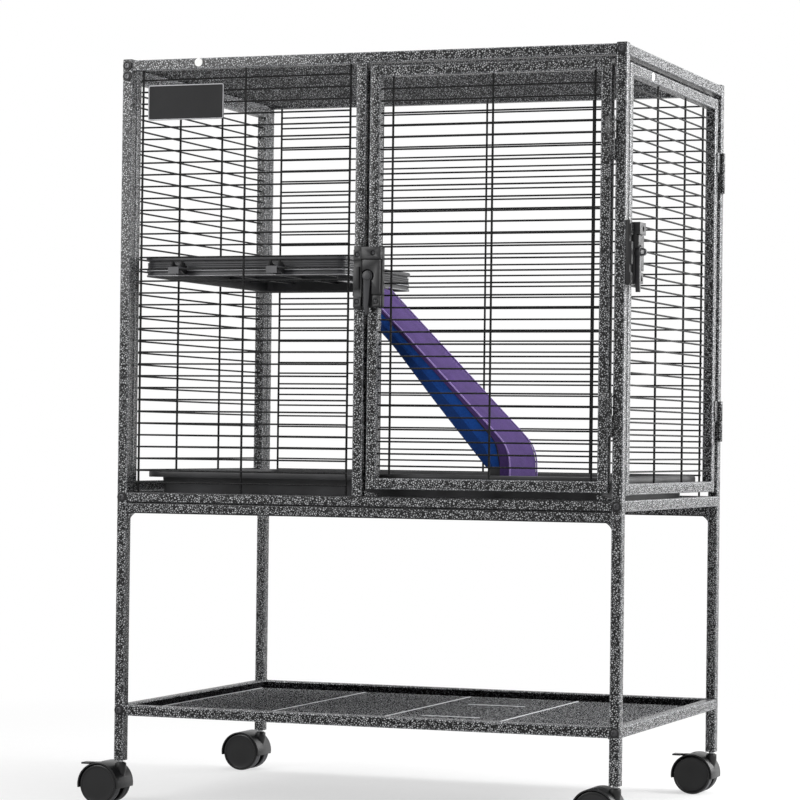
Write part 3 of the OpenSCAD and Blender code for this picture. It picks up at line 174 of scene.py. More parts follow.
# The same coat on the tubes' rounded corners, where it runs thin and is rubbed paler, and is
# painted paler still as a highlight where the corners catch the light.
CORNER_COAT_AND_HIGHLIGHT = hammertone_coat("hammertone_corners_rubbed_and_painted_highlight", "#3c3d3f", "#6c6d6f", "#b8b9bb",
                              metal=0.25)
# And in the groove between two rails that lie on each other, where it is thick and dusty, and
# painted nearly black as the shade in the groove.
GROOVE_DUST_AND_SHADE = hammertone_coat("hammertone_groove_dust_and_painted_shade", "#050506", "#101011", "#4c4d4f")
TUBE_COATS = [HAMMERTONE, CORNER_COAT_AND_HIGHLIGHT, GROOVE_DUST_AND_SHADE]
RUBBED_AND_LIT, IN_SHADED_GROOVE = 1, 2


def mesh_from(shape, name, into=TO_FRAME):
    """Turns a shape into a mesh, out of the cage's millimetres into the object's frame."""
    bmesh.ops.recalc_face_normals(shape, faces=shape.faces)
    bmesh.ops.transform(shape, matrix=into, verts=shape.verts)
    mesh = bpy.data.meshes.new(name)
    shape.to_mesh(mesh)
    shape.free()
    return mesh


def show_piece(name, mesh, materials, nodes, body="frame", angle=35):
    """Makes a piece from a mesh or a shape, and ties it to its body and the nodes it replaces."""
    if isinstance(mesh, bmesh.types.BMesh):
        mesh = mesh_from(mesh, name)
    for material in materials:
        mesh.materials.append(material)
    mesh.shade_smooth()
    mesh.set_sharp_from_angle(angle=math.radians(angle))
    piece = new_object(name, mesh)
    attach(piece, body)
    if nodes:
        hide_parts(*nodes)
    return piece


def join_rings(shape, rings, closed_ends=True):
    """Skins a stack of rings of equal count, and closes its two ends. Gives each band's faces."""
    bands = [[shape.faces.new(corners) for corners in zip(a, a[1:] + a[:1], b[1:] + b[:1], b)]
             for a, b in zip(rings, rings[1:])]
    if closed_ends:
        for ring in (rings[0], rings[-1]):
            shape.faces.new(ring)
    return bands


def rounded_square(side, radius, steps=4):
    """The corners of a rounded square around the origin."""
    points = []
    for quarter in range(4):
        start = quarter * math.pi / 2
        middle = Vector((math.cos(start + math.pi / 4), math.sin(start + math.pi / 4)))
        middle *= (side / 2 - radius) * math.sqrt(2)
        for step in range(steps + 1):
            a = start + step * math.pi / 2 / steps
            points.append(middle + radius * Vector((math.cos(a), math.sin(a))))
    return points


def square_tube(shape, start, end, corners=RUBBED_AND_LIT):
    """Adds a hollow tube with rounded corners between two points that differ in one axis."""
    u, v = (i for i in range(3) if start[i] == end[i])
    rings = []
    for side, radius, ends in ((TUBE, CORNER, (start, end)),
                               (TUBE - 2 * WALL, CORNER - WALL, (end, start))):
        for point in ends:
            ring = []
            for corner in rounded_square(side, radius):
                place = Vector(point)
                place[u] += corner.x
                place[v] += corner.y
                ring.append(shape.verts.new(place))
            rings.append(ring)
    outside = join_rings(shape, rings + rings[:1], closed_ends=False)[0]
    # The corner faces take the given coat: the pale one with its painted highlight, or the groove's
    # painted shade.
    for i, face in enumerate(outside):
        if (i + 1) % (len(outside) // 4):
            face.material_index = corners


def weld_seam(shape, middle, reach):
    """Adds a ripply weld bead that reaches as far both ways, like a row of overlapping drops."""
    middle, reach = Vector(middle), Vector(reach)
    drops = max(2, round(2 * reach.length / BEAD_STEP))
    for i in range(drops + 1):
        drop = Matrix.Translation((middle - reach).lerp(middle + reach, i / drops))
        bmesh.ops.create_icosphere(shape, subdivisions=1, radius=BEAD, matrix=drop)


def weld_faces(shape, x, y, z):
    """Adds an upright seam on the front and on the back of a joint between two tubes."""
    for face in SIDES:
        weld_seam(shape, (x, y + face * (TUBE / 2 - SEAM_SINK), z), (0, 0, SEAM_HALF))


def leg_frame(name, y, node):
    shape = bmesh.new()
    for side in SIDES:
        square_tube(shape, (side * POST_X, y, LEG_BOTTOM), (side * POST_X, y, STAND_TOP))
    for z, corners in ((STAND_RAIL, IN_SHADED_GROOVE), (STORAGE_RAIL, RUBBED_AND_LIT)):
        square_tube(shape, (-INNER_X - WELD, y, z), (INNER_X + WELD, y, z), corners)
    low = STAND_TOP - TUBE
    for side in SIDES:
        for z in (low, STORAGE_TOP - TUBE, STORAGE_TOP):
            weld_seam(shape, (side * (INNER_X - 0.4), y, z), (0, SEAM_HALF, 0))
        for z in (STAND_RAIL, STORAGE_RAIL):
            weld_faces(shape, side * INNER_X, y, z)
        # The solid corner where the leg runs into the top rail.
        outline = [(WELD, WELD), (WELD, -9), (-1, -6.5), (-3.5, -3.5), (-6.5, -1), (-9, WELD)]
        ends = (y - GUSSET_HALF, y + GUSSET_HALF)
        join_rings(shape, [[shape.verts.new((side * (INNER_X + across), end, low + up))
                            for across, up in outline] for end in ends])
    show_piece(name, shape, TUBE_COATS, [node])


leg_frame("stand_front", -POST_Y, "stand_front_frame")
leg_frame("stand_rear", POST_Y, "stand_rear_frame")


def rail_x(side, z, gap=0.0):
    """The two ends of a front (-1) or rear (1) rail between the posts."""
    return (-INNER_X + gap, side * POST_Y, z), (INNER_X - gap, side * POST_Y, z)


def rail_y(side, z):
    """The two ends of a left (-1) or right (1) rail between the posts."""
    return (side * POST_X, -INNER_Y, z), (side * POST_X, INNER_Y, z)


def tubes_piece(name, runs, node, corners=RUBBED_AND_LIT):
    """A piece made only of tubes, each given by its two ends."""
    shape = bmesh.new()
    for start, end in runs:
        square_tube(shape, start, end, corners)
    show_piece(name, shape, TUBE_COATS, [node])


tubes_piece("storage_rails", [rail_y(side, STORAGE_RAIL) for side in SIDES],
            "storage_side_rails")

# ---- The storage sheet ----
# One thin steel sheet, pressed as a shallow pan and welded in between the storage rails. Ridges
# stand up out of it from front to back, and there are two short ones in the third bay.
SHEET_TOP, SHEET = STORAGE_TOP - 12.0, 1.2
RIDGE, RIDGE_HALF, RIDGE_FADE = 1.5, 3.0, 5
LONG_RIDGES = [4.6 - INNER_X, -190.0, -8.5, 173.0, INNER_X - 4.6]
SHORT_MIDDLE, SHORT_PLACES = 82.0, [-108.0, 108.0]
SHORT_HALF, LONG_END = 49.5, INNER_Y - 12.0
LIP, LIP_TOP = 1.0, STORAGE_TOP - 2.5


def ridge_height(across, along, half_length):
    """Height of a pressed ridge at a distance across it and along it, with soft ends."""
    if abs(across) >= RIDGE_HALF or abs(along) >= half_length:
        return 0.0
    fade = min(1.0, (half_length - abs(along)) / RIDGE_FADE)
    return RIDGE * fade * (1 + math.cos(math.pi * across / RIDGE_HALF)) / 2


def sheet_height(x, y):
    return max([ridge_height(x - place, y, LONG_END) for place in LONG_RIDGES]
               + [ridge_height(y - place, x - SHORT_MIDDLE, SHORT_HALF) for place in SHORT_PLACES])


def sheet_lines(edge, ridges, middle, half_length):
    """Lines of the sheet's mesh, which lie close together only where a ridge runs or ends."""
    lines = {-edge + 2 * edge * k / 24 for k in range(25)}
    for ridge in ridges:
        lines.update(ridge + RIDGE_HALF * k / 3 for k in range(-3, 4))
    for side in SIDES:
        fade = middle + side * (half_length - RIDGE_FADE)
        lines.update((fade - RIDGE_FADE, fade, fade + RIDGE_FADE))
    kept = []
    for line in sorted(x for x in lines if -edge <= x <= edge):
        if not kept or line - kept[-1] > 0.4:
            kept.append(line)
    return kept


def storage_sheet():
    xs = sheet_lines(INNER_X, LONG_RIDGES, SHORT_MIDDLE, SHORT_HALF)
    ys = sheet_lines(INNER_Y, SHORT_PLACES, 0, LONG_END)
    shape = bmesh.new()
    rims = []
    for level in (SHEET_TOP, SHEET_TOP - SHEET):
        grid = [[shape.verts.new((x, y, level + sheet_height(x, y))) for y in ys] for x in xs]
        for a, b in zip(grid, grid[1:]):
            for corners in zip(a, b, b[1:], a[1:]):
                shape.faces.new(corners)
        rims.append([row[0] for row in grid] + grid[-1][1:]
                    + [row[-1] for row in grid[-2::-1]] + grid[0][-2:0:-1])
    join_rings(shape, rims, closed_ends=False)
    flat = set(shape.faces)
    # The upturned edge of the pan, its coat painted nearly black as the shade on the rails' inner
    # faces, and short weld beads that tie it to the rails.
    rings = []
    for inset, z in ((LIP, SHEET_TOP - SHEET), (0, SHEET_TOP - SHEET), (0, LIP_TOP - 0.2),
                     (0.2, LIP_TOP), (LIP - 0.2, LIP_TOP), (LIP, LIP_TOP - 0.2)):
        x, y = INNER_X - inset, INNER_Y - inset
        rings.append([shape.verts.new((a, b, z)) for a, b in ((-x, -y), (x, -y), (x, y), (-x, y))])
    join_rings(shape, rings + rings[:1], closed_ends=False)
    for side in SIDES:
        for x in (-220, 0, 220):
            weld_seam(shape, (x, side * (INNER_Y - SEAM_SINK), LIP_TOP), (LONG_SEAM_HALF, 0, 0))
        for y in (-85, 85):
            weld_seam(shape, (side * (INNER_X - SEAM_SINK), y, LIP_TOP), (0, LONG_SEAM_HALF, 0))
    for face in shape.faces:
        face.material_index = 0 if face in flat else 1
    # The sheet's ridge crests are painted pale, partly as wear and partly as a painted highlight.
    coats = [hammertone_coat("hammertone_sheet", "#171718", "#424244", "#d2d3d5", gloss=0.0,
                             clear=0.0, crest_highlight_from=SHEET_TOP + 0.4),
             # The upturned edge's coat is painted nearly black, as the shade on the rails' inner
             # faces.
             hammertone_coat("hammertone_pan_edge_painted_shade", "#060607", "#141415", "#4a4a4c", gloss=0.0,
                             clear=0.0)]
    show_piece("storage_sheet", shape, coats, ["storage_panel"], angle=50)


storage_sheet()

# ---- Corner posts and base rails ----
# Four lengths of square tube stand on the stand's legs, with rails butted between them. The
# front and back rails and the side rails carry the tray and close the bottom of the cage.
CAGE_TOP, BASE_TOP, CEILING = 1115.0, STAND_TOP + TUBE, 1115.0 - TUBE
BASE_MIDDLE, TOP_MIDDLE, MULLION_X = BASE_TOP - TUBE / 2, CAGE_TOP - TUBE / 2, -8.5
for across, x in (("left", -POST_X), ("right", POST_X)):
    for along, y in (("front", -POST_Y), ("rear", POST_Y)):
        tubes_piece(f"post_{along}_{across}_tube", [((x, y, STAND_TOP), (x, y, CAGE_TOP))],
                    f"post_{along}_{across}")
for where, side in (("front", -1), ("rear", 1)):
    tubes_piece("base_" + where, [rail_x(side, BASE_MIDDLE)], "base_rail_" + where, IN_SHADED_GROOVE)
for where, side in (("left", -1), ("right", 1)):
    tubes_piece("base_" + where, [rail_y(side, BASE_MIDDLE)], "base_rail_" + where)
tubes_piece("front_mullion_tube",
            [((MULLION_X, -POST_Y, BASE_TOP), (MULLION_X, -POST_Y, CEILING))], "front_mullion")

# ---- Post caps ----
# Injection-moulded plastic plugs, pushed into the open tops of the posts, with a low crown.


def moulded_plastic(name, colour, worn, rough, grit):
    """Injection-moulded polypropylene or nylon out of a spark-eroded mould: a fine, even grit
    that blurs the highlights, and slightly paler where it has been rubbed."""
    material, put = new_material(name)
    place = put("TexCoord", "Object")
    grain = put("TexNoise", "Fac", {"Vector": place, "Scale": 1000.0 / grit, "Detail": 2.0})
    cloud = put("TexNoise", "Fac", {"Vector": place, "Scale": 18.0, "Detail": 3.0})
    fade = put("MapRange", "Result", {"Value": cloud, "From Min": 0.35, "From Max": 0.75})
    gloss = put("MapRange", "Result", {"Value": grain, "From Min": 0.3, "From Max": 0.7,
                                       "To Min": rough - 0.06, "To Max": rough + 0.08})
    return finished(material, put, {
        "Base Color": put("ValToRGB", "Color", {"Fac": fade}, [(0.0, colour), (1.0, worn)]),
        "Roughness": gloss, "IOR": 1.49, "Specular IOR Level": 0.35,
        "Normal": put("Bump", "Normal", {"Height": grain, "Strength": 0.25, "Distance": 0.0002})})


def level_ring(shape, points, z):
    """A ring of points that lies level, from (x, y) points."""
    return [shape.verts.new((p[0], p[1], z)) for p in points]


CAP_NYLON = moulded_plastic("moulded_nylon_cap", "#111112", "#1e1e1f", 0.45, 0.6)


def post_caps():
    shape = bmesh.new()
    plug = TUBE - 2 * WALL - 0.3
    section = [(plug - 0.6, 1, -4), (plug, 1, -3.4), (plug, 1, 0), (TUBE, CORNER, 0),
               (TUBE, CORNER, 0.9), (TUBE - 0.8, CORNER - 0.4, 1.5),
               (TUBE - 3, CORNER - 0.8, 1.85), (TUBE - 8, 1, 2.0)]
    for x in (-POST_X, POST_X):
        for y in (-POST_Y, POST_Y):
            join_rings(shape, [level_ring(shape, [(x + p.x, y + p.y)
                                                  for p in rounded_square(side, radius)],
                                          CAGE_TOP + z) for side, radius, z in section])
    show_piece("post_cap_plugs", shape, [CAP_NYLON], ["post_caps"])


post_caps()

# ---- The grilles ----
# Drawn steel wire, cut to length: rungs 17.7 mm apart lie across a few uprights and are
# resistance-welded where they touch, and the ends are welded to the tubes before coating.
WIRE, PITCH, SETBACK = 2.0, 17.7, 6.0
RUNG, UPRIGHT, WIRE_FACETS = 1.35, 1.7, 10
CROSS = WIRE * math.cos(math.radians(30)) - 0.3


def modifier_tree(name, *inputs):
    """Starts a Geometry Nodes tree that takes a geometry and more inputs, by name and kind."""
    tree = bpy.data.node_groups.new(name, "GeometryNodeTree")
    for socket, kind in (("Geometry", "Geometry"),) + inputs:
        tree.interface.new_socket(socket, in_out="INPUT", socket_type="NodeSocket" + kind)
    tree.interface.new_socket("Geometry", in_out="OUTPUT", socket_type="NodeSocketGeometry")
    return tree, tree.nodes.new("NodeGroupInput").outputs, node_adder(tree, "GeometryNode")


def end_tree(tree, geometry):
    tree.links.new(geometry, tree.nodes.new("NodeGroupOutput").inputs["Geometry"])
    return tree


def add_layer(holder, tree, values):
    """Puts a Geometry Nodes tree on an object, with values for its inputs by name."""
    layer = holder.modifiers.new(tree.name, "NODES")
    layer.node_group = tree
    for socket in tree.interface.items_tree:
        if socket.in_out == "INPUT" and socket.name in values:
            layer[socket.identifier] = values[socket.name]


def evaluated_mesh(holder, name):
    """The mesh that an object's modifiers make; the object itself is thrown away."""
    seen = holder.evaluated_get(bpy.context.evaluated_depsgraph_get())
    mesh = bpy.data.meshes.new_from_object(seen)
    mesh.name = name
    mesh.materials.clear()
    bpy.data.objects.remove(holder)
    return mesh


def wire_row_tree():
    """A Geometry Nodes tree that lays a row of equal wires and joins it to what is there."""
    tree, given, put = modifier_tree("wire_row", ("First Wire", "Vector"), ("Step", "Vector"),
                                     ("Run", "Vector"), ("Count", "Int"), ("Radius", "Float"))
    row = put("MeshLine", "Mesh", {"Count": given["Count"], "Start Location": given["First Wire"],
                                   "Offset": given["Step"]}, mode="OFFSET")
    run = put("CurvePrimitiveLine", "Curve", {"End": given["Run"]}, mode="POINTS")
    section = put("CurvePrimitiveCircle", "Curve",
                  {"Resolution": WIRE_FACETS, "Radius": given["Radius"]}, mode="RADIUS")
    wire = put("CurveToMesh", "Mesh", {"Curve": run, "Profile Curve": section, "Fill Caps": True})
    wires = put("InstanceOnPoints", "Instances", {"Points": row, "Instance": wire})
    both = put("JoinGeometry")
    for part in (given["Geometry"], put("RealizeInstances", "Geometry", {"Geometry": wires})):
        tree.links.new(part, both.inputs[0])
    return end_tree(tree, both.outputs["Geometry"])


WIRE_ROW = wire_row_tree()
ROW_INPUTS = ("First Wire", "Step", "Run", "Count", "Radius")
# The wires carry the same coat as the tubes, painted much darker as shade, since thin wires look
# darker than the tubes.
WIRE_COAT = hammertone_coat("hammertone_wire", "#050505", "#0c0c0d", "#2e2f30", 1.6, gloss=0.1,
                            clear=0.05)
# The roof's wires hang in the light of the surround; their coat is painted paler as a highlight,
# which brings out their flecks.
ROOF_COAT = hammertone_coat("hammertone_roof_wire", "#1e1e1f", "#3e3f40", "#a0a1a3", gloss=0.1,
                            clear=0.3)


def wires_piece(name, rows, node, body="frame", at=TO_FRAME, coat=WIRE_COAT):
    """A grille: rows of wires, each given by its first start, step, run, count and radius."""
    holder = new_object(name + "_rows", bpy.data.meshes.new(name + "_rows"))
    for row in rows:
        add_layer(holder, WIRE_ROW, dict(zip(ROW_INPUTS, row)))
    mesh = evaluated_mesh(holder, name)
    mesh.transform(at)
    show_piece(name, mesh, [coat], [node], body)


def rung_heights(low, high):
    """The first rung's height in an opening, and how many rungs fill it."""
    count = int((high - low) // PITCH)
    return (low + high - (count - 1) * PITCH) / 2, count


def grille_rows(x0, x1, uprights, y, side, opening, reach=0.0):
    """Rungs along X in the plane y, with uprights on their inner side that fill the opening
    and reach into its tubes."""
    first, count = rung_heights(*opening)
    low, high = opening[0] - reach, opening[1] + reach
    return [((x0, y, first), (0, 0, PITCH), (x1 - x0, 0, 0), count, RUNG)] + [
        ((x, y + side * CROSS, low), (0, 0, 0), (0, 0, high - low), 1, UPRIGHT) for x in uprights]


def spread(first, last, count):
    return [first + (last - first) * i / (count - 1) for i in range(count)]


# The back's rungs are welded to five uprights that run from the base rail to the roof, and
# those of the fixed front, between the left post and the mullion, to three.
for name, first, last, count, side, node in (
        ("back_grille", 16.5 - INNER_X, INNER_X - 16.5, 5, 1, "back_wires"),
        ("front_grille", 15.5 - INNER_X, MULLION_X - TUBE / 2 - 11.5, 3, -1, "front_wires")):
    wires_piece(name, grille_rows(first - WIRE, last + WIRE, spread(first, last, count),
                                  side * (HALF_D - SETBACK), -side, (BASE_TOP, CEILING)), node)

tubes_piece("roof_tubes", [rail_x(side, TOP_MIDDLE, 0.3) for side in SIDES]
            + [rail_y(side, TOP_MIDDLE) for side in SIDES], "top_panel")


def roof_grille():
    first, count = rung_heights(-INNER_Y, INNER_Y)
    height = CEILING + CORNER + WIRE
    rows = [((-INNER_X - WELD, first, height), (0, PITCH, 0), (2 * INNER_X + 2 * WELD, 0, 0),
             count, RUNG)]
    for x in spread(-INNER_X, INNER_X, 6)[1:-1]:
        rows.append(((x, -INNER_Y - WELD, height + CROSS), (0, 0, 0),
                     (0, 2 * INNER_Y + 2 * WELD, 0), 1, UPRIGHT))
    wires_piece("roof_grille", rows, "top_panel", coat=ROOF_COAT)


roof_grille()

# ---- The fixed left side ----
# A welded frame of tube with its own grille, bolted through the left posts.
LEFT_EDGE = INNER_Y - 2.5
ON_FRONT = Matrix.Identity(4)
ON_LEFT, ON_RIGHT = (Matrix.Rotation(math.radians(a), 4, "Z") for a in (-90, 90))


def framed_panel(name, x0, x1, low, high, uprights, y, turn, node, body="frame"):
    """A tube frame and its grille behind a plane across Y, turned into its place."""
    middle = y + TUBE / 2
    shape = bmesh.new()
    for x in (x0 + TUBE / 2, x1 - TUBE / 2):
        square_tube(shape, (x, middle, low), (x, middle, high))
    for z in (low + TUBE / 2, high - TUBE / 2):
        square_tube(shape, (x0 + TUBE - WELD, middle, z), (x1 - TUBE + WELD, middle, z))
        for x in (x0 + TUBE, x1 - TUBE):
            weld_faces(shape, x, middle, z)
    bmesh.ops.transform(shape, matrix=turn, verts=shape.verts)
    show_piece(name + "_tubes", shape, TUBE_COATS, [node], body)
    rows = grille_rows(x0 + TUBE - WELD, x1 - TUBE + WELD, uprights, y + SETBACK, 1,
                       (low + TUBE, high - TUBE), WELD)
    wires_piece(name + "_grille", rows, node, body, TO_FRAME @ turn)


framed_panel("left_side", -LEFT_EDGE, LEFT_EDGE, BASE_TOP, CEILING,
             [side * (LEFT_EDGE - TUBE) / 3 for side in SIDES], -HALF_W, ON_LEFT, "left_panel")

# ---- The doors ----
# Two welded frames like the left side, one in the right half of the front and one that
# fills the right side; each lifts off its two hinge pins.
DOOR_LEFT, DOOR_RIGHT = MULLION_X + TUBE / 2 + 5.5, INNER_X - 6.0
DOOR_LOW, DOOR_HIGH = BASE_TOP + 10.5, CEILING - 4.5
SIDE_FRONT, SIDE_BACK = -INNER_Y + 4.0, INNER_Y - 21.0
SIDE_LOW, SIDE_HIGH = BASE_TOP + 7.5, CEILING - 9.0
framed_panel("front_door", DOOR_LEFT, DOOR_RIGHT, DOOR_LOW, DOOR_HIGH,
             spread(DOOR_LEFT + TUBE + 18, DOOR_RIGHT - TUBE - 10.5, 3), -HALF_D, ON_FRONT,
             "front_door_panel", "front_door")
framed_panel("side_door", SIDE_FRONT, SIDE_BACK, SIDE_LOW, SIDE_HIGH,
             spread(SIDE_FRONT + TUBE, SIDE_BACK - TUBE, 4)[1:-1], -HALF_W, ON_RIGHT,
             "side_door_panel", "side_door")


def gap_shade_strip():
    """A thin black strip behind the gap at the mullion's inner edge: painted shade that keeps the
    gap between the mullion and the door dark.
    """
    shape = bmesh.new()
    left, face = MULLION_X + TUBE / 2 - 3.0, -HALF_D + TUBE
    rings = []
    for inset, z in ((0.3, DOOR_LOW + 4.0), (0.0, DOOR_LOW + 4.4), (0.0, DOOR_HIGH - 4.4),
                     (0.3, DOOR_HIGH - 4.0)):
        outline = [(inset, 0), (8.2, 0), (8.9 - inset, 0.6), (8.6 - inset, 1.5 - inset),
                   (0.8 + inset, 1.5 - inset), (inset, 0.8)]
        rings.append(level_ring(shape, [(left + x, face + y) for x, y in outline], z))
    join_rings(shape, rings)
    # Its black is painted shade for the gap.
    gap_shade_black = moulded_plastic("black_strip_painted_shade", "#0e0e0f", "#1c1c1d", 0.6, 0.5)
    show_piece("mullion_rubber_strip", shape, [gap_shade_black], [])


gap_shade_strip()

# ---- The hinges ----
# Lift-off hinges, rolled from steel strip and welded by their leaves: a lower half with an upright
# pin on the post, an upper half with a bored barrel on the door. They are coated with the frame,
# and their coat is painted a little darker than it, as shade.


def ease_edges(shape, width, least_angle, segments=2):
    """Rounds off the edges where two faces turn by more than an angle."""
    sharp = [e for e in shape.edges
             if len(e.link_faces) == 2 and e.calc_face_angle(0) > least_angle]
    bmesh.ops.bevel(shape, geom=sharp, offset=width, offset_type="OFFSET", segments=segments,
                    profile=0.5, affect="EDGES", clamp_overlap=True)


def eased_piece(node, name, width, material, body="frame", segments=2):
    """A piece made from a part's own mesh, its sharp edges rounded as moulding or rolling does."""
    shape = bmesh.new()
    shape.from_mesh(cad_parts[node].data)
    bmesh.ops.remove_doubles(shape, verts=shape.verts, dist=1e-6)
    bmesh.ops.dissolve_limit(shape, angle_limit=math.radians(1), verts=shape.verts,
                             edges=shape.edges)
    ease_edges(shape, width * MM, math.radians(28), segments)
    show_piece(name, mesh_from(shape, name, Matrix.Identity(4)), [material], [node], body)


HINGE_COAT = hammertone_coat("hammertone_on_hinges", "#050506", "#18191a", "#949597")
eased_piece("hinge_pins", "hinge_lower_halves", 0.45, HINGE_COAT)
for door in ("front", "side"):
    eased_piece(f"{door}_hinge_eyes", f"{door}_hinge_upper_halves", 0.45, HINGE_COAT,
                f"{door}_door")

# ---- The latches ----
# Each latch has a moulded case screwed to the door, a lever that turns on the case, and a
# keeper on the mullion or the post that the lever's tail closes over. All are black nylon.
LATCH_NYLON = moulded_plastic("moulded_nylon_latch", "#101011", "#202022", 0.40, 0.7)
LEVER_NYLON = moulded_plastic("moulded_nylon_lever", "#28282a", "#3a3a3d", 0.36, 0.7)
for door in ("front", "side"):
    eased_piece(f"{door}_latch_case", f"{door}_latch_housing", 0.55, LATCH_NYLON,
                f"{door}_door")
    eased_piece(f"{door}_latch_lever", f"{door}_latch_handle", 0.7, LEVER_NYLON,
                f"{door}_latch", segments=3)
eased_piece("latch_keepers", "latch_keeper_plates", 0.5, LATCH_NYLON)

# ---- Bolts and screws ----
# Blackened button-head bolts hold the posts' rails; each head has a hexagon socket and sits on
# a black nylon washer. The small screws of the latches have square sockets.


def oxide_steel(name, colour, bright):
    """Cold-headed steel, blackened: dark and slightly oily, with brighter streaks."""
    material, put = new_material(name)
    streak = put("TexNoise", "Fac", {"Vector": put("TexCoord", "Object"), "Scale": 700.0,
                                     "Detail": 3.0})
    return finished(material, put, {
        "Base Color": put("ValToRGB", "Color", {"Fac": streak}, [(0.3, colour), (0.8, bright)]),
        "Roughness": put("MapRange", "Result", {"Value": streak, "To Min": 0.28, "To Max": 0.5}),
        "Metallic": 0.8})


def circle(radius, steps, x=0.0, y=0.0):
    """Points around a circle."""
    turns = [2 * math.pi * k / steps for k in range(steps)]
    return [(x + radius * math.cos(a), y + radius * math.sin(a)) for a in turns]


def upright_ring(shape, points, y):
    """A ring of points that stands across Y, from (x, z) points."""
    return [shape.verts.new((p[0], y, p[1])) for p in points]


def headed_rod(profile, socket_sides, socket_radius, socket_depth, steps=24):
    """A turned head and shank along +Y with a polygonal socket in its crown.
    The profile runs from the socket's rim outward and back to the shank's end."""
    shape = bmesh.new()
    rings = [upright_ring(shape, circle(radius, steps), y) for radius, y in profile]
    join_rings(shape, rings, closed_ends=False)
    shape.faces.new(rings[-1])
    # The socket's wall has as many points as the head's, pushed onto a polygon.
    half = math.pi / socket_sides
    wall = []
    for x, z in circle(socket_radius, steps):
        push = math.cos(half) / math.cos(math.atan2(z, x) % (2 * half) - half)
        wall.append((x * push, z * push))
    rim, floor = (upright_ring(shape, wall, profile[0][1] + depth)
                  for depth in (0.0, socket_depth))
    join_rings(shape, [rings[0], rim, floor], closed_ends=False)
    shape.faces.new(floor)
    return shape


def copies_tree():
    """A Geometry Nodes tree that puts a piece on each of the holder's points."""
    tree, given, put = modifier_tree("copies", ("Shape", "Object"), ("Turn", "Vector"))
    shape = put("ObjectInfo", "Geometry", {"Object": given["Shape"]})
    turn = node_adder(tree, "FunctionNode")("EulerToRotation", "Rotation",
                                            {"Euler": given["Turn"]})
    laid = put("InstanceOnPoints", "Instances",
               {"Points": given["Geometry"], "Instance": shape, "Rotation": turn})
    return end_tree(tree, put("RealizeInstances", "Geometry", {"Geometry": laid}))


COPIES = copies_tree()


def copies_piece(name, shape, places, material, nodes, body):
    """One piece made of equal shapes along +Y at several places, each with a turn about Z."""
    master = new_object(name + "_one", mesh_from(shape, name + "_one", Matrix.Identity(4)))
    joined = bmesh.new()
    for turn in sorted({turn for _, turn in places}):
        points = bpy.data.meshes.new(name + "_places")
        points.from_pydata([place for place, t in places if t == turn], [], [])
        holder = new_object(name + "_places", points)
        add_layer(holder, COPIES, {"Shape": master, "Turn": (0.0, 0.0, math.radians(turn))})
        part = evaluated_mesh(holder, name)
        joined.from_mesh(part)
        bpy.data.meshes.remove(part)
    bpy.data.objects.remove(master)
    show_piece(name, joined, [material], nodes, body)


def washer():
    shape = bmesh.new()
    rings = [upright_ring(shape, circle(radius, 32), y) for radius, y in (
        (3.2, 0.0), (3.2, -1.2), (5.2, -1.3), (5.6, -1.9), (6.4, -1.9), (7.2, -1.3), (7.5, -0.4),
        (7.5, 0.0))]
    join_rings(shape, rings + rings[:1], closed_ends=False)
    return shape


BOLT_OXIDE = oxide_steel("black_oxide_bolt_steel", "#2a2a2b", "#5e5e60")
BOLT_PROFILE = [(2.6, -3.0), (3.4, -2.95), (4.2, -2.6), (4.8, -2.0), (5.1, -1.1), (3.0, -1.0),
                (3.0, 29.0), (2.4, 29.8)]
# Three bolts on each post's face, and a fourth that holds the left side's frame.
BOLT_PLACES = [((x, face, z), turn) for turn, face in ((0, -HALF_D), (180, HALF_D))
               for x, z in [(x, z) for x in (-POST_X, POST_X)
                            for z in (STORAGE_RAIL, BASE_MIDDLE, TOP_MIDDLE)]
               + [(-POST_X, CEILING - TUBE / 2)]]
copies_piece("post_bolts", headed_rod(BOLT_PROFILE, 6, 2.3, 1.7), BOLT_PLACES, BOLT_OXIDE,
             ["frame_bolts"], "frame")
copies_piece("post_bolt_washers", washer(), BOLT_PLACES, CAP_NYLON, [], "frame")

# Each latch's pivot, as the place on the door's face and the turn about Z.
PIVOTS = {"front": ((DOOR_LEFT + 5.0, -HALF_D, DOOR_LOW + 309.0), 0),
          "side": ((HALF_W, SIDE_FRONT + 5.0, SIDE_LOW + 345.0), 90)}
CASE_SCREWS, KEEPER_HEIGHTS = [(9.0, 33.0), (13.0, -37.5)], (31.0, -37.5)
KEEPER_MIDDLE = {"front": -18.5, "side": -17.0}
SCREW_OXIDE = oxide_steel("black_oxide_screw_steel", "#202021", "#4c4c4e")


def on_latch(door, along, out, high):
    """A place on a latch, along the door from the pivot, out from the face and above the
    pivot, with the door's turn."""
    place, turn = PIVOTS[door]
    spin = Matrix.Rotation(math.radians(turn), 4, "Z")
    return tuple(Vector(place) + spin @ Vector((along, -out, high))), turn


def latch_screws(name, length, places, node, body):
    shape = headed_rod([(1.5, 0.0), (2.3, 0.05), (3.0, 0.4), (3.35, 1.0), (3.4, 1.8), (1.5, 1.8),
                        (1.5, length - 0.8), (0.8, length)], 4, 1.35, 1.1)
    copies_piece(name, shape, places, SCREW_OXIDE, [node], body)


for door in ("front", "side"):
    latch_screws(f"{door}_case_screws", 18.0, [on_latch(door, a, 15.3, z) for a, z in CASE_SCREWS],
                 f"{door}_latch_screws", f"{door}_door")
latch_screws("keeper_plate_screws", 7.5,
             [on_latch(door, KEEPER_MIDDLE[door], 7.8, z) for door in ("front", "side")
              for z in KEEPER_HEIGHTS], "keeper_screws", "frame")

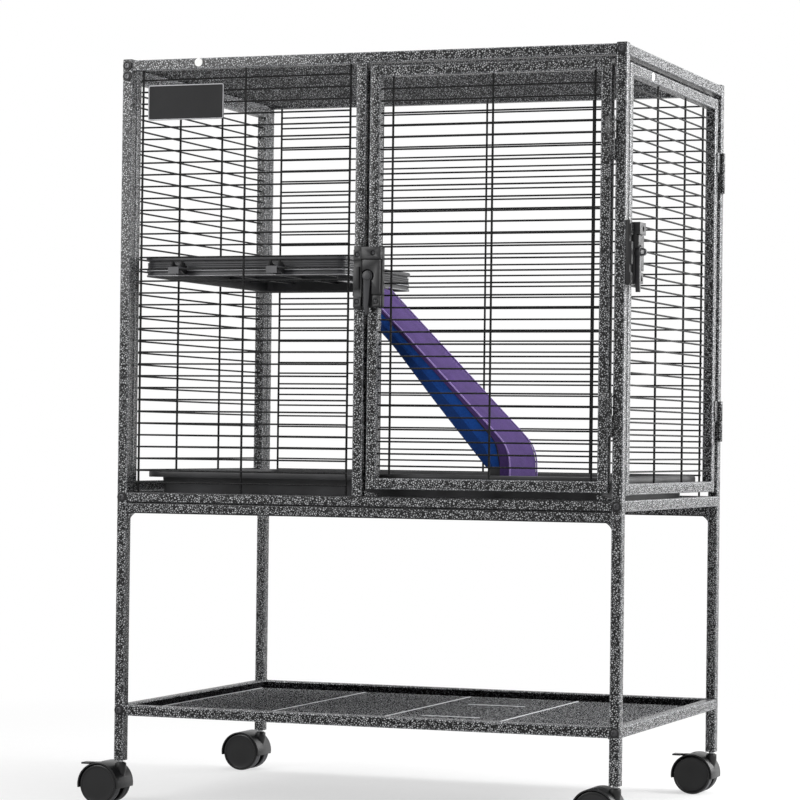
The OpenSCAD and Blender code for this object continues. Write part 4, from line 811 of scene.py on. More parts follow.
# ---- The half shelf ----
# One polypropylene moulding, an upturned tray with a main part on the left and a landing that
# runs on along the front. A rim stands proud at its top, and the skirts below it are stepped.
SHELF_TOP, SHELF_LOW = BASE_TOP + 354.0, BASE_TOP + 324.0
SHELF_LEFT, SHELF_RIGHT, LANDING_END = -INNER_X + 3.5, -115.0, -43.0
SHELF_DEPTH, LANDING_BACK = INNER_Y - 19.0, -85.0
HOOK_MIDDLES = (SHELF_LEFT + 61.0, SHELF_RIGHT - 39.5)
RIB_HALF, SKIRT = 0.8, 4.0
SHELF_BLACK = moulded_plastic("moulded_polypropylene_shelf", "#28282a", "#3e3e41", 0.42, 0.8)
# The crests' pale plastic is a painted highlight.
SHELF_CREST_HIGHLIGHT = moulded_plastic("polypropylene_crest_painted_highlight", "#77777a", "#a8a8ab", 0.34,
                              0.8)


def corner_outline(corners, inset, steps=6):
    """The outline through rounded corners, drawn in by an inset. The corners run
    counter-clockwise, each as x, y and radius."""
    points = []
    for i, (x, y, radius) in enumerate(corners):
        here = Vector((x, y))
        come = (here - Vector(corners[i - 1][:2])).normalized()
        go = (Vector(corners[(i + 1) % len(corners)][:2]) - here).normalized()
        middle = here + (go - come) * radius
        bend = 1 if come.x * go.y > come.y * go.x else -1
        reach = radius - bend * inset
        start = math.atan2(-come.x, come.y)
        for step in range(steps + 1):
            a = start + bend * math.pi / 2 * step / steps
            points.append(middle + bend * reach * Vector((math.cos(a), math.sin(a))))
    return points


def box_corners(x0, x1, y0, y1, radius):
    return [(x0, y0, radius), (x1, y0, radius), (x1, y1, radius), (x0, y1, radius)]


def slab(shape, x0, x1, y0, y1, z0, z1, edge=0.4):
    """Adds a plate or bar with its edges eased."""
    plan = box_corners(x0, x1, y0, y1, 2 * edge)
    join_rings(shape, [level_ring(shape, corner_outline(plan, inset, 1), z)
                       for inset, z in ((edge, z0), (0, z0 + edge), (0, z1 - edge), (edge, z1))])


def half_shelf():
    shape = bmesh.new()
    plan = [(SHELF_LEFT, -SHELF_DEPTH, 20), (LANDING_END, -SHELF_DEPTH, 16),
            (LANDING_END, LANDING_BACK, 14), (SHELF_RIGHT, LANDING_BACK, 8),
            (SHELF_RIGHT, SHELF_DEPTH, 16), (SHELF_LEFT, SHELF_DEPTH, 16)]
    # From the pan's edge out over the rim, down the stepped skirt and up inside it again.
    section = [(9.0, -1.2), (8.0, -1.0), (7.2, -0.15), (6.4, 0), (2.2, 0), (0.9, -0.5),
               (0.2, -1.5), (0, -2.6), (0.2, -5.8), (1.2, -6.6), (4.2, -6.9), (4.2, -8.6),
               (2.2, -9.0), (2.2, -10.8), (3.0, -11.4), (2.3, -12.0), (2.3, -13.8), (3.1, -14.4),
               (2.4, -15.0), (2.4, -16.8), (3.2, -17.4), (2.4, -18.0), (1.0, -20.4), (1.0, -21.6),
               (4.2, -22.2), (4.2, -23.8), (2.4, -24.4), (2.0, -27.0), (0.9, -28.0), (0.7, -29.2),
               (1.2, -30), (4.6, -30), (5.2, -29.2), (5.6, -4.0), (6.4, -3.2)]
    rings = [level_ring(shape, corner_outline(plan, inset), SHELF_TOP + z) for inset, z in section]
    join_rings(shape, rings)
    # The crests that stand out furthest are painted brighter than the grooves between them, as a
    # highlight.
    highlit_crests = {v for k in (7, 22, 23, 28, 29) for v in rings[k]}
    for face in shape.faces:
        face.material_index = 1 if highlit_crests.issuperset(face.verts) else 0
    # Stiffening ribs cross the open underside.
    low, high = SHELF_TOP - 17.0, SHELF_TOP - 3.0
    for x, back in ((-322.0, SHELF_DEPTH), (-244.5, SHELF_DEPTH), (-167.0, SHELF_DEPTH),
                    (-89.2, LANDING_BACK)):
        slab(shape, x - RIB_HALF, x + RIB_HALF, -SHELF_DEPTH + SKIRT, back - SKIRT, low, high)
    for y in (-160.0, -80.0, 0.0, 80.0, 160.0):
        slab(shape, SHELF_LEFT + SKIRT, SHELF_RIGHT - SKIRT, y - RIB_HALF, y + RIB_HALF, low,
             high)
    # Flat pads on the front and rear skirts, under the hooks.
    for middle in HOOK_MIDDLES:
        for side in SIDES:
            faces = sorted((side * (SHELF_DEPTH - 2.4), side * (SHELF_DEPTH + 2.0)))
            slab(shape, middle - 8.5, middle + 8.5, *faces, SHELF_LOW + 4, SHELF_LOW + 21, 0.7)
    show_piece("half_shelf_moulding", shape, [SHELF_BLACK, SHELF_CREST_HIGHLIGHT], ["half_shelf"],
               angle=30)


half_shelf()

# ---- The shelf's hooks ----
# Four moulded hooks are pressed on the shelf's pads. Each has a broad nose that drops in front
# of a rung, an arm over the rung, and two pointed cheeks that stiffen the arm.
HOOK_NYLON = moulded_plastic("moulded_nylon_hook", "#3b3b3d", "#525255", 0.4, 0.7)
CHEEK_NYLON = moulded_plastic("moulded_nylon_cheek", "#0b0b0c", "#19191a", 0.4, 0.7)
SHELF_RUNG, PAD_FACE = 801.2, SHELF_DEPTH + 2.0


def hook_outlines():
    """The strip's and the two cheeks' outlines, out from the pad's face and up from the rung."""
    over = WIRE / 2 + 0.3
    far = HALF_D - SETBACK + over - PAD_FACE
    strip = [(0, -5.2), (0, over + 2.4), (far + 1.6, over + 2.4), (far + 2.4, over + 1.6),
             (far + 2.4, -6.8), (far + 2.0, -7.2), (far + 0.4, -7.2), (far, -6.8), (far, over),
             (2.4, over), (2.4, -5.2)]
    above = [(0, over + 2.2), (0, 6.8), (8, 7.3), (15.6, 13.2), (16.6, 13.2), (22.5, over + 2.2)]
    below = [(0, -6.7), (0, over + 0.2), (22.5, over + 0.2), (20, -2.2), (8, -6.7)]
    return strip, above, below


def shelf_hooks():
    shape = bmesh.new()
    strip, above, below = hook_outlines()
    for middle in HOOK_MIDDLES:
        left, right = middle - 2.5, middle + 14.5
        plates = [(left, right, strip, 0)] + [(x, x + 2.2, cheek, 1) for x in (left, right - 2.2)
                                              for cheek in (above, below)]
        for side in SIDES:
            for x0, x1, outline, finish in plates:
                before = set(shape.faces)
                join_rings(shape, [[shape.verts.new((x, side * (PAD_FACE + y), SHELF_RUNG + z))
                                    for y, z in outline] for x in (x0, x1)])
                for face in set(shape.faces) - before:
                    face.material_index = finish
    ease_edges(shape, 0.35, 0.5)
    show_piece("shelf_hook_set", shape, [HOOK_NYLON, CHEEK_NYLON], ["shelf_hooks"])


shelf_hooks()

# ---- The tray and its bars ----
# A deep tray, vacuum-formed from black polypropylene sheet: walls that lean out, soft corners,
# a flat rim and a turned-down edge. It stands on three flat steel bars between the base rails.
TRAY_LOW = STAND_TOP + 3.3
TRAY_X, TRAY_Y = HALF_W - 23.5, HALF_D - 35.0
TRAY_BLACK = moulded_plastic("formed_polypropylene_tray", "#242425", "#3c3c3e", 0.5, 1.2)


def tray():
    shape = bmesh.new()
    plan = box_corners(-TRAY_X, TRAY_X, -TRAY_Y, TRAY_Y, 34)
    # From the middle of the floor up the wall, over the rim and back underneath. The walls at
    # the two ends lean more than the front and rear ones: each point has an inset for either.
    section = [(34.0, 26.0, 2.5), (31.6, 24.2, 2.8), (30.0, 23.0, 4.0), (29.2, 22.7, 6.0),
               (23.6, 22.5, 40.6), (23.0, 22.2, 43.0), (21.8, 21.4, 44.6), (20.0, 20.0, 45.0),
               (3.0, 3.0, 45.0), (1.2, 1.2, 44.4), (0.3, 0.3, 43.0), (0, 0, 41.4), (0, 0, 35.6),
               (0.4, 0.4, 35.0), (1.9, 1.9, 35.0), (2.4, 2.4, 35.6), (2.4, 2.4, 41.6),
               (3.6, 3.6, 42.5), (19.0, 19.0, 42.5), (20.6, 19.8, 41.4), (21.2, 20.1, 39.6),
               (26.8, 20.4, 5.6), (28.0, 21.2, 2.4), (30.2, 23.0, 0.5), (33.5, 26.0, 0.0)]
    rings = []
    for ends, sides, z in section:
        outline = [(p.x, p.y + math.copysign(ends - sides, p.y))
                   for p in corner_outline(plan, ends, 8)]
        rings.append(level_ring(shape, outline, TRAY_LOW + z))
    join_rings(shape, rings)
    show_piece("tray_moulding", shape, [TRAY_BLACK], ["tray"], angle=40)


def tray_bars():
    shape = bmesh.new()
    for x in (-INNER_X / 2, 0, INNER_X / 2):
        slab(shape, x - 10, x + 10, -INNER_Y, INNER_Y, STAND_TOP, STAND_TOP + 3, 0.5)
        for side in SIDES:
            weld_seam(shape, (x, side * (INNER_Y - 1), STAND_TOP + 2.6), (LONG_SEAM_HALF, 0, 0))
    show_piece("tray_bars", shape, [HAMMERTONE], ["tray_supports"])


tray()
tray_bars()

# ---- The nameplate ----
# A thin moulded plate that snaps between two rungs, left bare, with a pale line around its edge.
PLATE_LEFT, PLATE_HIGH = -INNER_X + 25, CEILING - 22
PLATE_WIDTH, PLATE_HEIGHT, PLATE_BACK = 123.5, 53, -HALF_D + SETBACK - WIRE / 2


def nameplate():
    shape = bmesh.new()
    plan = box_corners(PLATE_LEFT, PLATE_LEFT + PLATE_WIDTH, PLATE_HIGH - PLATE_HEIGHT,
                       PLATE_HIGH, 3.5)
    middle_x, middle_z = PLATE_LEFT + PLATE_WIDTH / 2, PLATE_HIGH - PLATE_HEIGHT / 2
    rings = []
    for inset, out in ((0.3, 0.0), (0, 0.3), (0, 1.1), (0.35, 1.45), (1.5, 1.5), (1.8, 1.2),
                       (2.6, 1.0), (9.0, 1.05), (20.0, 1.2)):
        # A corner's radius can't be drawn in further than this; from there the outline shrinks.
        drawn = min(inset, 3.4)
        outline = [(p.x - math.copysign(inset - drawn, p.x - middle_x),
                    p.y - math.copysign(inset - drawn, p.y - middle_z))
                   for p in corner_outline(plan, drawn, 5)]
        rings.append(upright_ring(shape, outline, PLATE_BACK - out))
    join_rings(shape, rings)
    for face in shape.faces:
        outs = [PLATE_BACK - v.co.y for v in face.verts]
        on_rim = min(outs) > 1.15 and max(outs) > 1.4 and len(face.verts) == 4
        face.material_index = 1 if on_rim else 0
    # Bosses behind the plate that snap in between the rungs.
    first, _ = rung_heights(BASE_TOP, CEILING)
    gap = first + PITCH * math.floor((middle_z - first) / PITCH)
    for x in (PLATE_LEFT + 15, PLATE_LEFT + PLATE_WIDTH - 35):
        slab(shape, x, x + 20, PLATE_BACK - 0.3, PLATE_BACK + 3, gap + WIRE, gap + PITCH - WIRE,
             0.5)
    plastics = [moulded_plastic("matt_abs_plate", "#1d1d1e", "#232324", 0.8, 0.5),
                moulded_plastic("silver_foiled_rim", "#909093", "#a6a6a9", 0.32, 0.5)]
    show_piece("bare_nameplate", shape, plastics, ["nameplate"])


nameplate()

# ---- Blank stickers ----
# Two round paper labels, left blank: one on the front top rail, one on the side door's rail.


def label_paper():
    """Coated paper: white, slightly glossy, faintly mottled by the adhesive under it."""
    material, put = new_material("coated_label_paper")
    mottle = put("TexNoise", "Fac", {"Vector": put("TexCoord", "Object"), "Scale": 420.0,
                                     "Detail": 2.0})
    tint = put("ValToRGB", "Color", {"Fac": mottle}, [(0.3, "#dcdcda"), (0.7, "#ececea")])
    return finished(material, put, {"Base Color": tint, "Roughness": 0.45, "IOR": 1.5})


LABEL_PAPER = label_paper()


def sticker(name, middle, turn, body):
    """A thin disc on a face that looks along -Y, turned about Z; its rim bends to the face."""
    shape = bmesh.new()
    join_rings(shape, [upright_ring(shape, circle(radius, 32), -out)
                       for radius, out in ((6.3, 0.0), (6.25, 0.12), (6.0, 0.18), (3.0, 0.2))])
    bmesh.ops.transform(shape, matrix=Matrix.Translation(middle) @ turn, verts=shape.verts)
    show_piece(name, shape, [LABEL_PAPER], [], body)


sticker("blank_sticker_front", (-269, -HALF_D, 1108.5), ON_FRONT, "frame")
sticker("blank_sticker_side", (HALF_W, -138.7, 1082.3), ON_RIGHT, "side_door")

# ---- Door stops ----
# Two pressed steel wedges, spot-welded on the base rail under the door's corners and coated
# with it; the door's lower rail rides up on them as it closes.
eased_piece("door_stops", "door_stop_wedges", 0.4, HAMMERTONE)

# ---- The ramp's board ----
# A moulded board with two cheeks and two hooks; the hooks reach under the landing's end, and
# the cheeks stand on the tray's floor. Only its foot shows below the cloth.
BOARD_BLACK = moulded_plastic("moulded_polypropylene_board", "#19191b", "#29292c", 0.45, 0.9)
eased_piece("ramp_board", "ramp_board_moulding", 0.7, BOARD_BLACK, "ramp")

# ---- The ramp's cloth ----
# A cover of woven polyester over the board: a blue sleeve around its sides and belly, and a
# purple top with a layer of foam under it that runs on down the board's foot.
RAMP_NEAR, RAMP_FAR = -216.0, -86.0
RAMP_WIDTH, TRAY_FLOOR = RAMP_FAR - RAMP_NEAR, TRAY_LOW + 2.8
# The purple top's upper and lower corners along the ramp, as (x, z), the blue's seam and belly.
PAD_TOP = [(-33, 781), (60, 687), (190, 555.6), (198, 545.5), (203.4, 533), (205.5, 520),
           (205.5, TRAY_FLOOR)]
PAD_LOW = [(-35, 777), (53, 686.3), (174.5, 561.1), (183, 548.5), (188, 537), (190.5, 514),
           (190.5, TRAY_FLOOR)]
PAD_STEPS = [20, 26, 3, 3, 3, 12]
SEAM = [(-35, 777), (53, 686.3), (130, 606.9), (183, 548.5), (190.5, 512.2)]
BELLY = [(-37, 750), (21, 691), (92.5, 603.1), (169.5, 512.2)]


def woven_cloth(name, shade, lit, thread=1.5):
    """Plain-woven polyester: matt, with a faint sheen at grazing angles. The threads are drawn
    about three times as coarse as the real ones, so that they still show."""
    material, put = new_material(name)
    place = put("UVMap", "UV", uv_map="threads")
    warp, weft = (put("TexWave", "Fac", {"Vector": place, "Scale": 0.314 / (thread * MM),
                                         "Distortion": 0.6, "Detail": 1.0, "Detail Scale": 2.0},
                      wave_type="BANDS", bands_direction=direction) for direction in "XY")
    crossing = put("Math", "Value", {0: warp, 1: weft}, operation="MAXIMUM")
    nap = put("TexNoise", "Fac", {"Vector": place, "Scale": 330.0, "Detail": 4.0,
                                  "Roughness": 0.7})
    blotch = put("TexNoise", "Fac", {"Vector": place, "Scale": 28.0, "Detail": 2.0})
    mixed = put("Math", "Value", {0: crossing, 1: nap}, operation="MULTIPLY")
    depth = put("Math", "Value", {0: blotch, 1: 0.45, 2: mixed}, operation="MULTIPLY_ADD")
    return finished(material, put, {
        "Base Color": put("ValToRGB", "Color", {"Fac": depth}, [(0.30, shade), (0.78, lit)]),
        "Roughness": 0.85, "Specular IOR Level": 0.2, "Sheen Weight": 0.04,
        "Sheen Roughness": 0.4,
        "Normal": put("Bump", "Normal", {"Height": mixed, "Strength": 0.5, "Distance": 0.0004})})


def along(corners, steps):
    """Points along a path of corners, with a number of steps to each leg."""
    points = []
    for a, b, count in zip(corners, corners[1:], steps):
        points += [Vector(a).lerp(Vector(b), k / count) for k in range(count)]
    return points + [Vector(corners[-1])]


def rounded_off(points, passes):
    """Draws each inner point towards its neighbours, which rounds the corners of a path."""
    for _ in range(passes):
        inner = [(a + 2 * b + c) / 4 for a, b, c in zip(points, points[1:], points[2:])]
        points = points[:1] + inner + points[-1:]
    return points


def runs_along(points):
    """Each point's distance along a path."""
    runs = [0.0]
    for a, b in zip(points, points[1:]):
        runs.append(runs[-1] + (b - a).length)
    return runs


def spaced(corners, count):
    """Points at equal distances along a path of corners."""
    corners = [Vector(corner) for corner in corners]
    runs = runs_along(corners)
    points = []
    for k in range(count + 1):
        run = runs[-1] * k / count
        leg = max(i for i in range(len(corners) - 1) if runs[i] < run or i == 0)
        share = (run - runs[leg]) / (runs[leg + 1] - runs[leg])
        points.append(corners[leg].lerp(corners[leg + 1], share))
    return points


def new_cloth():
    """An empty shape with a layer for its threads' pattern, and its points' places on it."""
    shape = bmesh.new()
    shape.loops.layers.uv.new("threads")
    return shape, {}


def lay_threads(shape, marks):
    """Writes each point's place on the cloth, across and along it in metres, to the pattern."""
    threads = shape.loops.layers.uv["threads"]
    for face in shape.faces:
        for loop in face.loops:
            across, run = marks[loop.vert]
            loop[threads].uv = across * MM, run * MM


ACROSS, THICK, SIDE_STEP, SEAM_DEPTH = 40, 4, 4.0, 0.7
FOAM_PRESSURE, FOAM_RISE = 4.0, 2.6
PAD_NEAR, PAD_FAR = RAMP_NEAR + 0.9, RAMP_FAR - 0.9
PAD_PATH = rounded_off(along(PAD_TOP, PAD_STEPS), 3)


def pad_blank():
    """The foam's shape before it swells: a closed shell of rings along the ramp."""
    shape, marks = new_cloth()
    pins = shape.verts.layers.deform.verify()
    lows = rounded_off(along(PAD_LOW, PAD_STEPS), 3)
    rings = []
    for k, (top, low, run) in enumerate(zip(PAD_PATH, lows, runs_along(PAD_PATH))):
        upper = top + (low - top).normalized() * SEAM_DEPTH
        walls = [top.lerp(low, i / THICK) for i in range(1, THICK)]
        # Each point of the ring: its place, its share of the width, whether it is pinned, and
        # its distance around the cloth. The belly lies on the board, so it is pinned as a whole.
        ring = [(upper, i / ACROSS, i in (0, ACROSS), i * RAMP_WIDTH / ACROSS)
                for i in range(ACROSS + 1)]
        ring += [(spot, 1, False, RAMP_WIDTH + (i + 1) * SIDE_STEP) for i, spot in enumerate(walls)]
        ring += [(low, 1 - i / ACROSS, True, RAMP_WIDTH * (1 + i / ACROSS) + THICK * SIDE_STEP)
                 for i in range(ACROSS + 1)]
        ring += [(walls[i - 1], 0, False, -i * SIDE_STEP) for i in range(THICK - 1, 0, -1)]
        rings.append([])
        for spot, share, pinned, around in ring:
            vert = shape.verts.new((spot.x, PAD_NEAR + (PAD_FAR - PAD_NEAR) * share, spot.y))
            vert[pins][0] = 1.0 if pinned or k in (0, len(lows) - 1) else 0.0
            marks[vert] = around, run
            rings[-1].append(vert)
    join_rings(shape, rings)
    lay_threads(shape, marks)
    return mesh_from(shape, "pad_blank"), len(rings), len(rings[0])


def swell(mesh, pressure, reach, frames=20):
    """Blows a pinned cloth shell up a little, as foam does, and stops each point within reach."""
    blank = new_object("pad_cloth", mesh)
    blank.vertex_groups.new(name="seams")
    layer = blank.modifiers.new("cloth", "CLOTH")
    cloth = layer.settings
    cloth.quality, cloth.mass, cloth.time_scale = 5, 0.3, 1.0
    cloth.tension_stiffness, cloth.compression_stiffness, cloth.shear_stiffness = 15, 15, 5
    cloth.bending_stiffness, cloth.vertex_group_mass, cloth.pin_stiffness = 0.5, "seams", 1.0
    cloth.use_pressure, cloth.uniform_pressure_force = True, pressure
    cloth.effector_weights.gravity = 0
    layer.point_cache.frame_start, layer.point_cache.frame_end = 1, frames
    for number in range(1, frames + 1):
        bpy.context.scene.frame_set(number)
    swollen = evaluated_mesh(blank, "ramp_top_swollen")
    bpy.context.scene.frame_set(1)
    for before, after in zip(mesh.vertices, swollen.vertices):
        moved = after.co - before.co
        if moved.length > reach:
            after.co = before.co + moved * reach / moved.length
    return swollen


CREASE_END, CREASE_FADE = 0.36, 0.06


def crease_depth(across, run):
    """How far a top-stitched crease draws the cloth in; it runs down near the far edge."""
    line = RAMP_WIDTH - (24 - 48 * (run - 0.06))
    if not 0.0 <= run <= CREASE_END:
        return 0.0
    fade = min(1.0, (CREASE_END - run) / CREASE_FADE)
    return fade * (1.5 * math.exp(-((across - line) / 2.2) ** 2)
                   - 0.8 * math.exp(-((across - line + 5) / 3.5) ** 2))


def ramp_top():
    mesh, count, size = pad_blank()
    top = swell(mesh, FOAM_PRESSURE, FOAM_RISE * MM)
    # Creases and slight unevenness of the foam, on the top's free points.
    for k in range(count):
        for i in range(1, ACROSS):
            vert = top.vertices[k * size + i]
            spot = vert.co.copy()
            lump = noise.noise(spot * 38.0) * 0.35 + noise.noise(spot * 90.0) * 0.15
            drop = (crease_depth(i * RAMP_WIDTH / ACROSS, k / count) - lump) * MM
            vert.co = spot - vert.normal * drop
    purple = woven_cloth("purple_polyester_canvas", "#2f2049", "#4d3672")
    piece = show_piece("ramp_purple_top", top, [purple], ["ramp_pad"], "ramp",
                       angle=50)
    layer = piece.modifiers.new("soften", "SUBSURF")
    layer.levels = layer.render_levels = 1


WELT = 1.1


def ramp_welts():
    """Corded welts, a cord inside a folded strip of cloth, along the top's two long edges. Their
    cloth is painted paler than the top's, as the highlight along those edges.
    """
    shape, marks = new_cloth()
    path = PAD_PATH
    for y in (RAMP_NEAR + 1.3, RAMP_FAR - 1.3):
        rings = []
        for spot, last, after, run in zip(path, path[:1] + path, path[1:] + path[-1:],
                                          runs_along(path)):
            ahead = (after - last).normalized()
            rings.append([])
            for i, (aside, up) in enumerate(circle(WELT, 10)):
                lift = up + 0.4 * WELT
                rings[-1].append(shape.verts.new((spot.x - ahead.y * lift, y + aside,
                                                  spot.y + ahead.x * lift)))
                marks[rings[-1][-1]] = i * WELT * 0.6, run
        join_rings(shape, rings)
    lay_threads(shape, marks)
    # The welts' pale purple is a painted highlight.
    welt_highlight = woven_cloth("purple_welt_painted_highlight", "#806aa8", "#a892cc", 1.0)
    show_piece("ramp_top_welts", shape, [welt_highlight], [], "ramp")


def sleeve_section(seam, low):
    """The sleeve's outer line around the ramp, from the near seam under the belly to the far
    one: each point's place, its y and its distance around the cloth."""
    # The side swells most at a fold two fifths of the way down; it is drawn in at the seam.
    side = [(0.0, 0.4), (0.06, -0.3), (0.16, -1.3), (0.28, -2.2), (0.38, -2.6), (0.43, -2.1),
            (0.47, -0.8), (0.53, -0.9), (0.7, -0.4), (0.86, 0.2), (0.95, 0.7), (1.0, 1.8)]
    down = (low - seam).normalized()
    section = [(seam.lerp(low, t), RAMP_NEAR + inward, t * SLEEVE_SIDE) for t, inward in side]
    for i in range(1, BELLY_STEPS):
        share = i / BELLY_STEPS
        section.append((low + down * (0.8 * math.sin(math.pi * share) + 0.5),
                        RAMP_NEAR + 1.8 + (RAMP_WIDTH - 3.6) * share,
                        SLEEVE_SIDE + RAMP_WIDTH * share))
    return section + [(seam.lerp(low, t), RAMP_FAR - inward,
                       RAMP_WIDTH + (2 - t) * SLEEVE_SIDE) for t, inward in reversed(side)]


SLEEVE_SIDE, BELLY_STEPS, FOLD = 40, 16, 6
SIDE_CLOTH, BELLY_CLOTH = 1.9, 2.4


def ramp_sleeve():
    """The blue sleeve: a tight U of cloth around the board, with a fold along each side. Below the
    folds and under the belly its blue is painted darker, as shade.
    """
    seams, belly = (rounded_off(spaced(corners, 90), 4) for corners in (SEAM, BELLY))
    shape, marks = new_cloth()
    outers, inners = [], []
    for seam, low, run in zip(seams, belly, runs_along(seams)):
        down = (low - seam).normalized()
        outers.append([])
        inners.append([])
        for spot, y, around in sleeve_section(seam, low):
            wave = noise.noise(Vector((spot.x, y, spot.y)) * 0.035) * 0.5
            toward = -1 if y < (RAMP_NEAR + RAMP_FAR) / 2 else 1
            on_side = y < RAMP_NEAR + 2 or y > RAMP_FAR - 2
            on_belly = not on_side or (spot - low).length < 4
            place = Vector((spot.x, y, spot.y))
            place += Vector((0, toward * wave, 0)) if on_side else Vector((0, 0, wave))
            # The lining lies inside the outer cloth, by the one's thickness or the other's.
            back = Vector((0, -toward * SIDE_CLOTH * on_side, 0))
            back -= Vector((down.x, 0, down.y)) * BELLY_CLOTH * on_belly
            for row, point in ((outers[-1], place), (inners[-1], place + back)):
                row.append(shape.verts.new(point))
                marks[row[-1]] = around, run
    last = len(outers[0]) - 1
    rings = [outer + inner[::-1] for outer, inner in zip(outers, inners)]
    for band in join_rings(shape, rings, closed_ends=False):
        # Faces below the folds and under the belly take a darker blue: painted shade.
        for i, face in enumerate(band):
            face.material_index = 1 if FOLD <= min(i, 2 * last - i) < last - FOLD else 0
    for k in (0, -1):
        for corners in zip(outers[k], outers[k][1:], inners[k][1:], inners[k]):
            shape.faces.new(corners)
    lay_threads(shape, marks)
    cloths = [woven_cloth("blue_polyester_canvas", "#08265f", "#134a9a"),
              woven_cloth("blue_canvas_painted_shade", "#041b45", "#0c3878")]
    piece = show_piece("ramp_blue_sleeve", shape, cloths, ["ramp_sleeve"], "ramp",
                       angle=60)


ramp_top()
ramp_welts()
ramp_sleeve()

# ---- Casters ----
# Hooded twin-wheel casters: a nylon housing with a web between two nylon wheels, a zinc-plated
# stem that snaps into a socket in the leg, and foot brakes on the front left and rear right one.
WHEEL_RADIUS, TRAIL, WEB, WHEEL_GAP = 30.0, 25.0, 13.0, 0.7
LEGS = {"front_left": (-POST_X, -POST_Y), "front_right": (POST_X, -POST_Y),
        "rear_left": (-POST_X, POST_Y), "rear_right": (POST_X, POST_Y)}
HOUSING_NYLON = moulded_plastic("moulded_nylon_housing", "#0b0b0c", "#171718", 0.36, 0.9)
WHEEL_NYLONS = [moulded_plastic("moulded_nylon_wheel", "#0d0d0e", "#151516", 0.34, 0.9),
                moulded_plastic("worn_nylon_tread", "#29292b", "#525256", 0.6, 1.4),
                moulded_plastic("polished_nylon_wheel_rim", "#060607", "#0e0e0f", 0.3, 0.9)]


def zinc_plated(name, dark, light, rough):
    """Zinc-plated steel: pale grey with small crystals of slightly different brightness."""
    material, put = new_material(name)
    crystals = put("TexVoronoi", "Color", {"Vector": put("TexCoord", "Object"), "Scale": 700.0})
    shade = put("SeparateColor", inputs={"Color": crystals}).outputs
    return finished(material, put, {
        "Base Color": put("ValToRGB", "Color", {"Fac": shade["Red"]}, [(0.1, dark), (0.9, light)]),
        "Roughness": put("MapRange", "Result", {"Value": shade["Green"], "To Min": rough - 0.08,
                                                "To Max": rough + 0.1}),
        "Metallic": 1.0})


def caster_wheel(name, leg, side, body, node):
    shape = bmesh.new()
    # From the hub's inner end over the recessed back, the tread and the dished outer face.
    profile = [(4.2, 1.0), (7.5, 0.9), (8.0, 1.6), (8.6, 4.0), (24.0, 4.0), (25.6, 2.4),
               (26.4, 0.5), (28.2, 0.1), (29.3, 0.7), (29.8, 1.8), (30.0, 3.4), (30.0, 8.6),
               (29.6, 9.2), (29.6, 9.8), (30.0, 10.4), (30.0, 15.6), (29.8, 17.2), (29.2, 18.4),
               (28.0, 19.0), (26.6, 19.0), (26.0, 18.6), (25.6, 18.0), (25.0, 17.8), (18.0, 17.7),
               (9.0, 17.9), (4.0, 18.0), (1.2, 18.0)]
    inner = leg[1] + side * (WEB / 2 + WHEEL_GAP)
    bands = join_rings(shape, [upright_ring(shape, circle(radius, 64, leg[0] - TRAIL, WHEEL_RADIUS),
                                            inner + side * out) for radius, out in profile])
    for finish, part in ((1, bands[9:16]), (2, bands[16:21])):
        for face in (face for band in part for face in band):
            face.material_index = finish
    show_piece(name, shape, WHEEL_NYLONS, [node], body, angle=30)


def caster_neck(name, leg, body):
    """The moulded collar that thickens the housing's neck around its stem."""
    shape = bmesh.new()
    rings = [level_ring(shape, circle(radius, 40, *leg), z) for radius, z in (
        (6.2, 44.0), (6.8, 44.5), (8.1, 50.5), (8.5, 54.0), (8.5, 61.2), (8.1, 61.8), (6.6, 62.2),
        (6.2, 62.0))]
    join_rings(shape, rings + rings[:1], closed_ends=False)
    show_piece(name, shape, [HOUSING_NYLON], [], body)


STEM_ZINC = zinc_plated("zinc_plated_stem_steel", "#7d7e80", "#a5a6a8", 0.3)
eased_piece("stem_sockets", "leg_sockets", 0.3, CAP_NYLON)
for leg, place in LEGS.items():
    eased_piece(f"caster_{leg}", f"caster_housing_{leg}", 0.8, HOUSING_NYLON, f"swivel_{leg}")
    caster_neck(f"caster_neck_{leg}", place, f"swivel_{leg}")
    eased_piece(f"stem_and_axle_{leg}", f"stem_{leg}", 0.4, STEM_ZINC, f"swivel_{leg}")
    for where, side in (("near", -1), ("far", 1)):
        caster_wheel(f"wheel_disc_{leg}_{where}", place, side, f"wheel_{leg}_{where}_body",
                     f"wheel_{leg}_{where}")
for which in ("front", "rear"):
    eased_piece(f"brake_lever_{which}", f"brake_pedal_{which}", 0.6, HOUSING_NYLON,
                f"brake_{which}")

# ---- Floor, surround and lamps ----
# A matt pale floor under the casters, a white surround, and soft boxes: the strongest stands
# on the right, and a weaker one close to the front's upper left corner, which is its palest.
FLOOR_REACH, SHADOW_REACH, WHITE_REACH = 9.0, 0.7, 1.9
SKY_LEVEL = 0.22


def seen_directly(put):
    """1 for rays that show a surface directly, mirrored or through glass, 0 for its light."""
    rays = put("LightPath").outputs
    either = put("Math", "Value", {0: rays["Is Camera Ray"], 1: rays["Is Glossy Ray"]},
                 operation="MAXIMUM")
    return put("Math", "Value", {0: either, 1: rays["Is Transmission Ray"]}, operation="MAXIMUM")


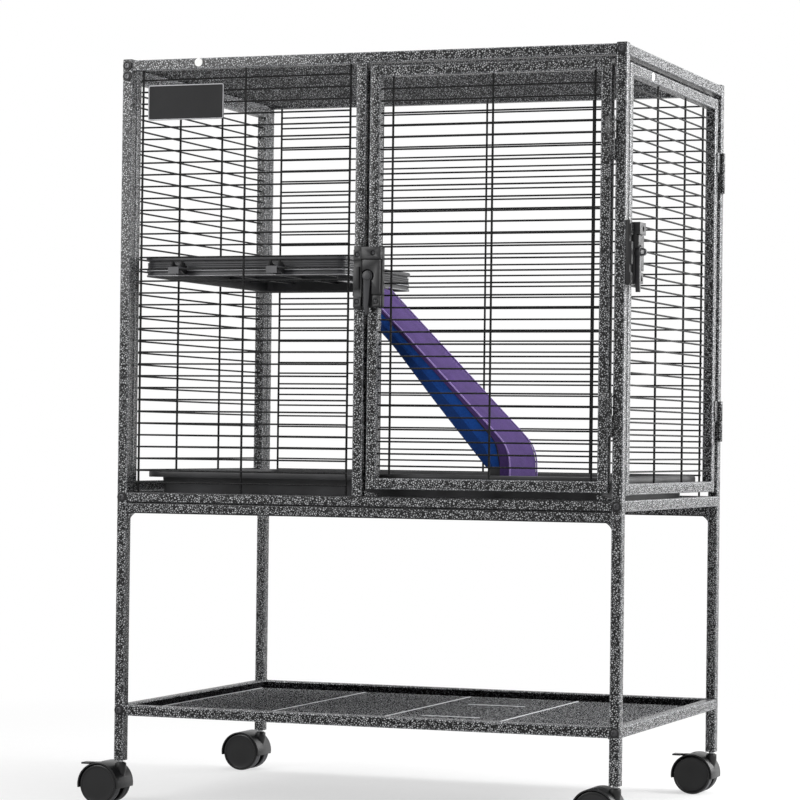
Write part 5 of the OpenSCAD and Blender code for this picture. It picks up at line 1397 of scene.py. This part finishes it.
def pale_floor():
    """Matt white-painted board, seen whiter and whiter away from the object and its shadow."""
    material, put = new_material("matt_white_floor")
    place = put("TexCoord", "Object")
    mottle = put("TexNoise", "Fac", {"Vector": place, "Scale": 40.0, "Detail": 3.0})
    tint = put("ValToRGB", "Color", {"Fac": mottle}, [(0.3, "#f4f4f4"), (0.7, "#f8f8f8")])
    painted = put("BsdfPrincipled", "BSDF", {"Base Color": tint, "Roughness": 0.8})
    white = put("Emission", "Emission", {"Color": linear("#ffffff"), "Strength": 1.0})
    away = put("VectorMath", "Value", {0: place}, operation="LENGTH")
    fade = put("MapRange", "Result", {"Value": away, "From Min": SHADOW_REACH,
                                      "From Max": WHITE_REACH, "To Min": 0.6, "To Max": 1.0})
    share = put("Math", "Value", {0: fade, 1: seen_directly(put)}, operation="MULTIPLY")
    both = put("MixShader", "Shader", {0: share, 1: painted, 2: white})
    put("OutputMaterial", inputs={"Surface": both})
    mesh = bpy.data.meshes.new("floor")
    corners = ((-1, -1), (1, -1), (1, 1), (-1, 1))
    mesh.from_pydata([(x * FLOOR_REACH, y * FLOOR_REACH, 0) for x, y in corners], [],
                     [(0, 1, 2, 3)])
    mesh.materials.append(material)
    floor = new_object("floor", mesh)


def surround():
    """A white surround, seen as white and mirrored as white, that gives a weaker light."""
    world = bpy.data.worlds.new("white_surround")
    world.use_nodes = True
    world.node_tree.nodes.clear()
    put = node_adder(world.node_tree, "ShaderNode")
    level = put("MapRange", "Result",
                {"Value": seen_directly(put), "To Min": SKY_LEVEL, "To Max": 1.0})
    sky = put("Background", "Background", {"Color": linear("#ffffff"), "Strength": level})
    put("OutputWorld", inputs={"Surface": sky})
    bpy.context.scene.world = world


def soft_box(name, place, aim, width, height, watts):
    light = bpy.data.lights.new(name, "AREA")
    light.shape, light.size, light.size_y, light.energy = "RECTANGLE", width, height, watts
    lamp = new_object(name, light)
    lamp.location = place
    lamp.rotation_euler = (Vector(aim) - Vector(place)).to_track_quat("-Z", "Y").to_euler()


pale_floor()
surround()
soft_box("window_right", (2.1, 0.35, 1.5), (0, 0, 0.7), 0.9, 1.2, 62)
soft_box("rear_right", (2.2, 2.8, 1.3), (0, 0, 0.6), 1.4, 1.8, 40)
soft_box("front_fill", (-1.0, -1.55, 1.3), (-0.1, 0, 0.6), 0.8, 1.0, 19)
soft_box("ceiling_light", (0.2, 0.2, 3.2), (0, 0, 0.5), 2.4, 2.4, 60)
bpy.context.scene.view_settings.view_transform = "Standard"
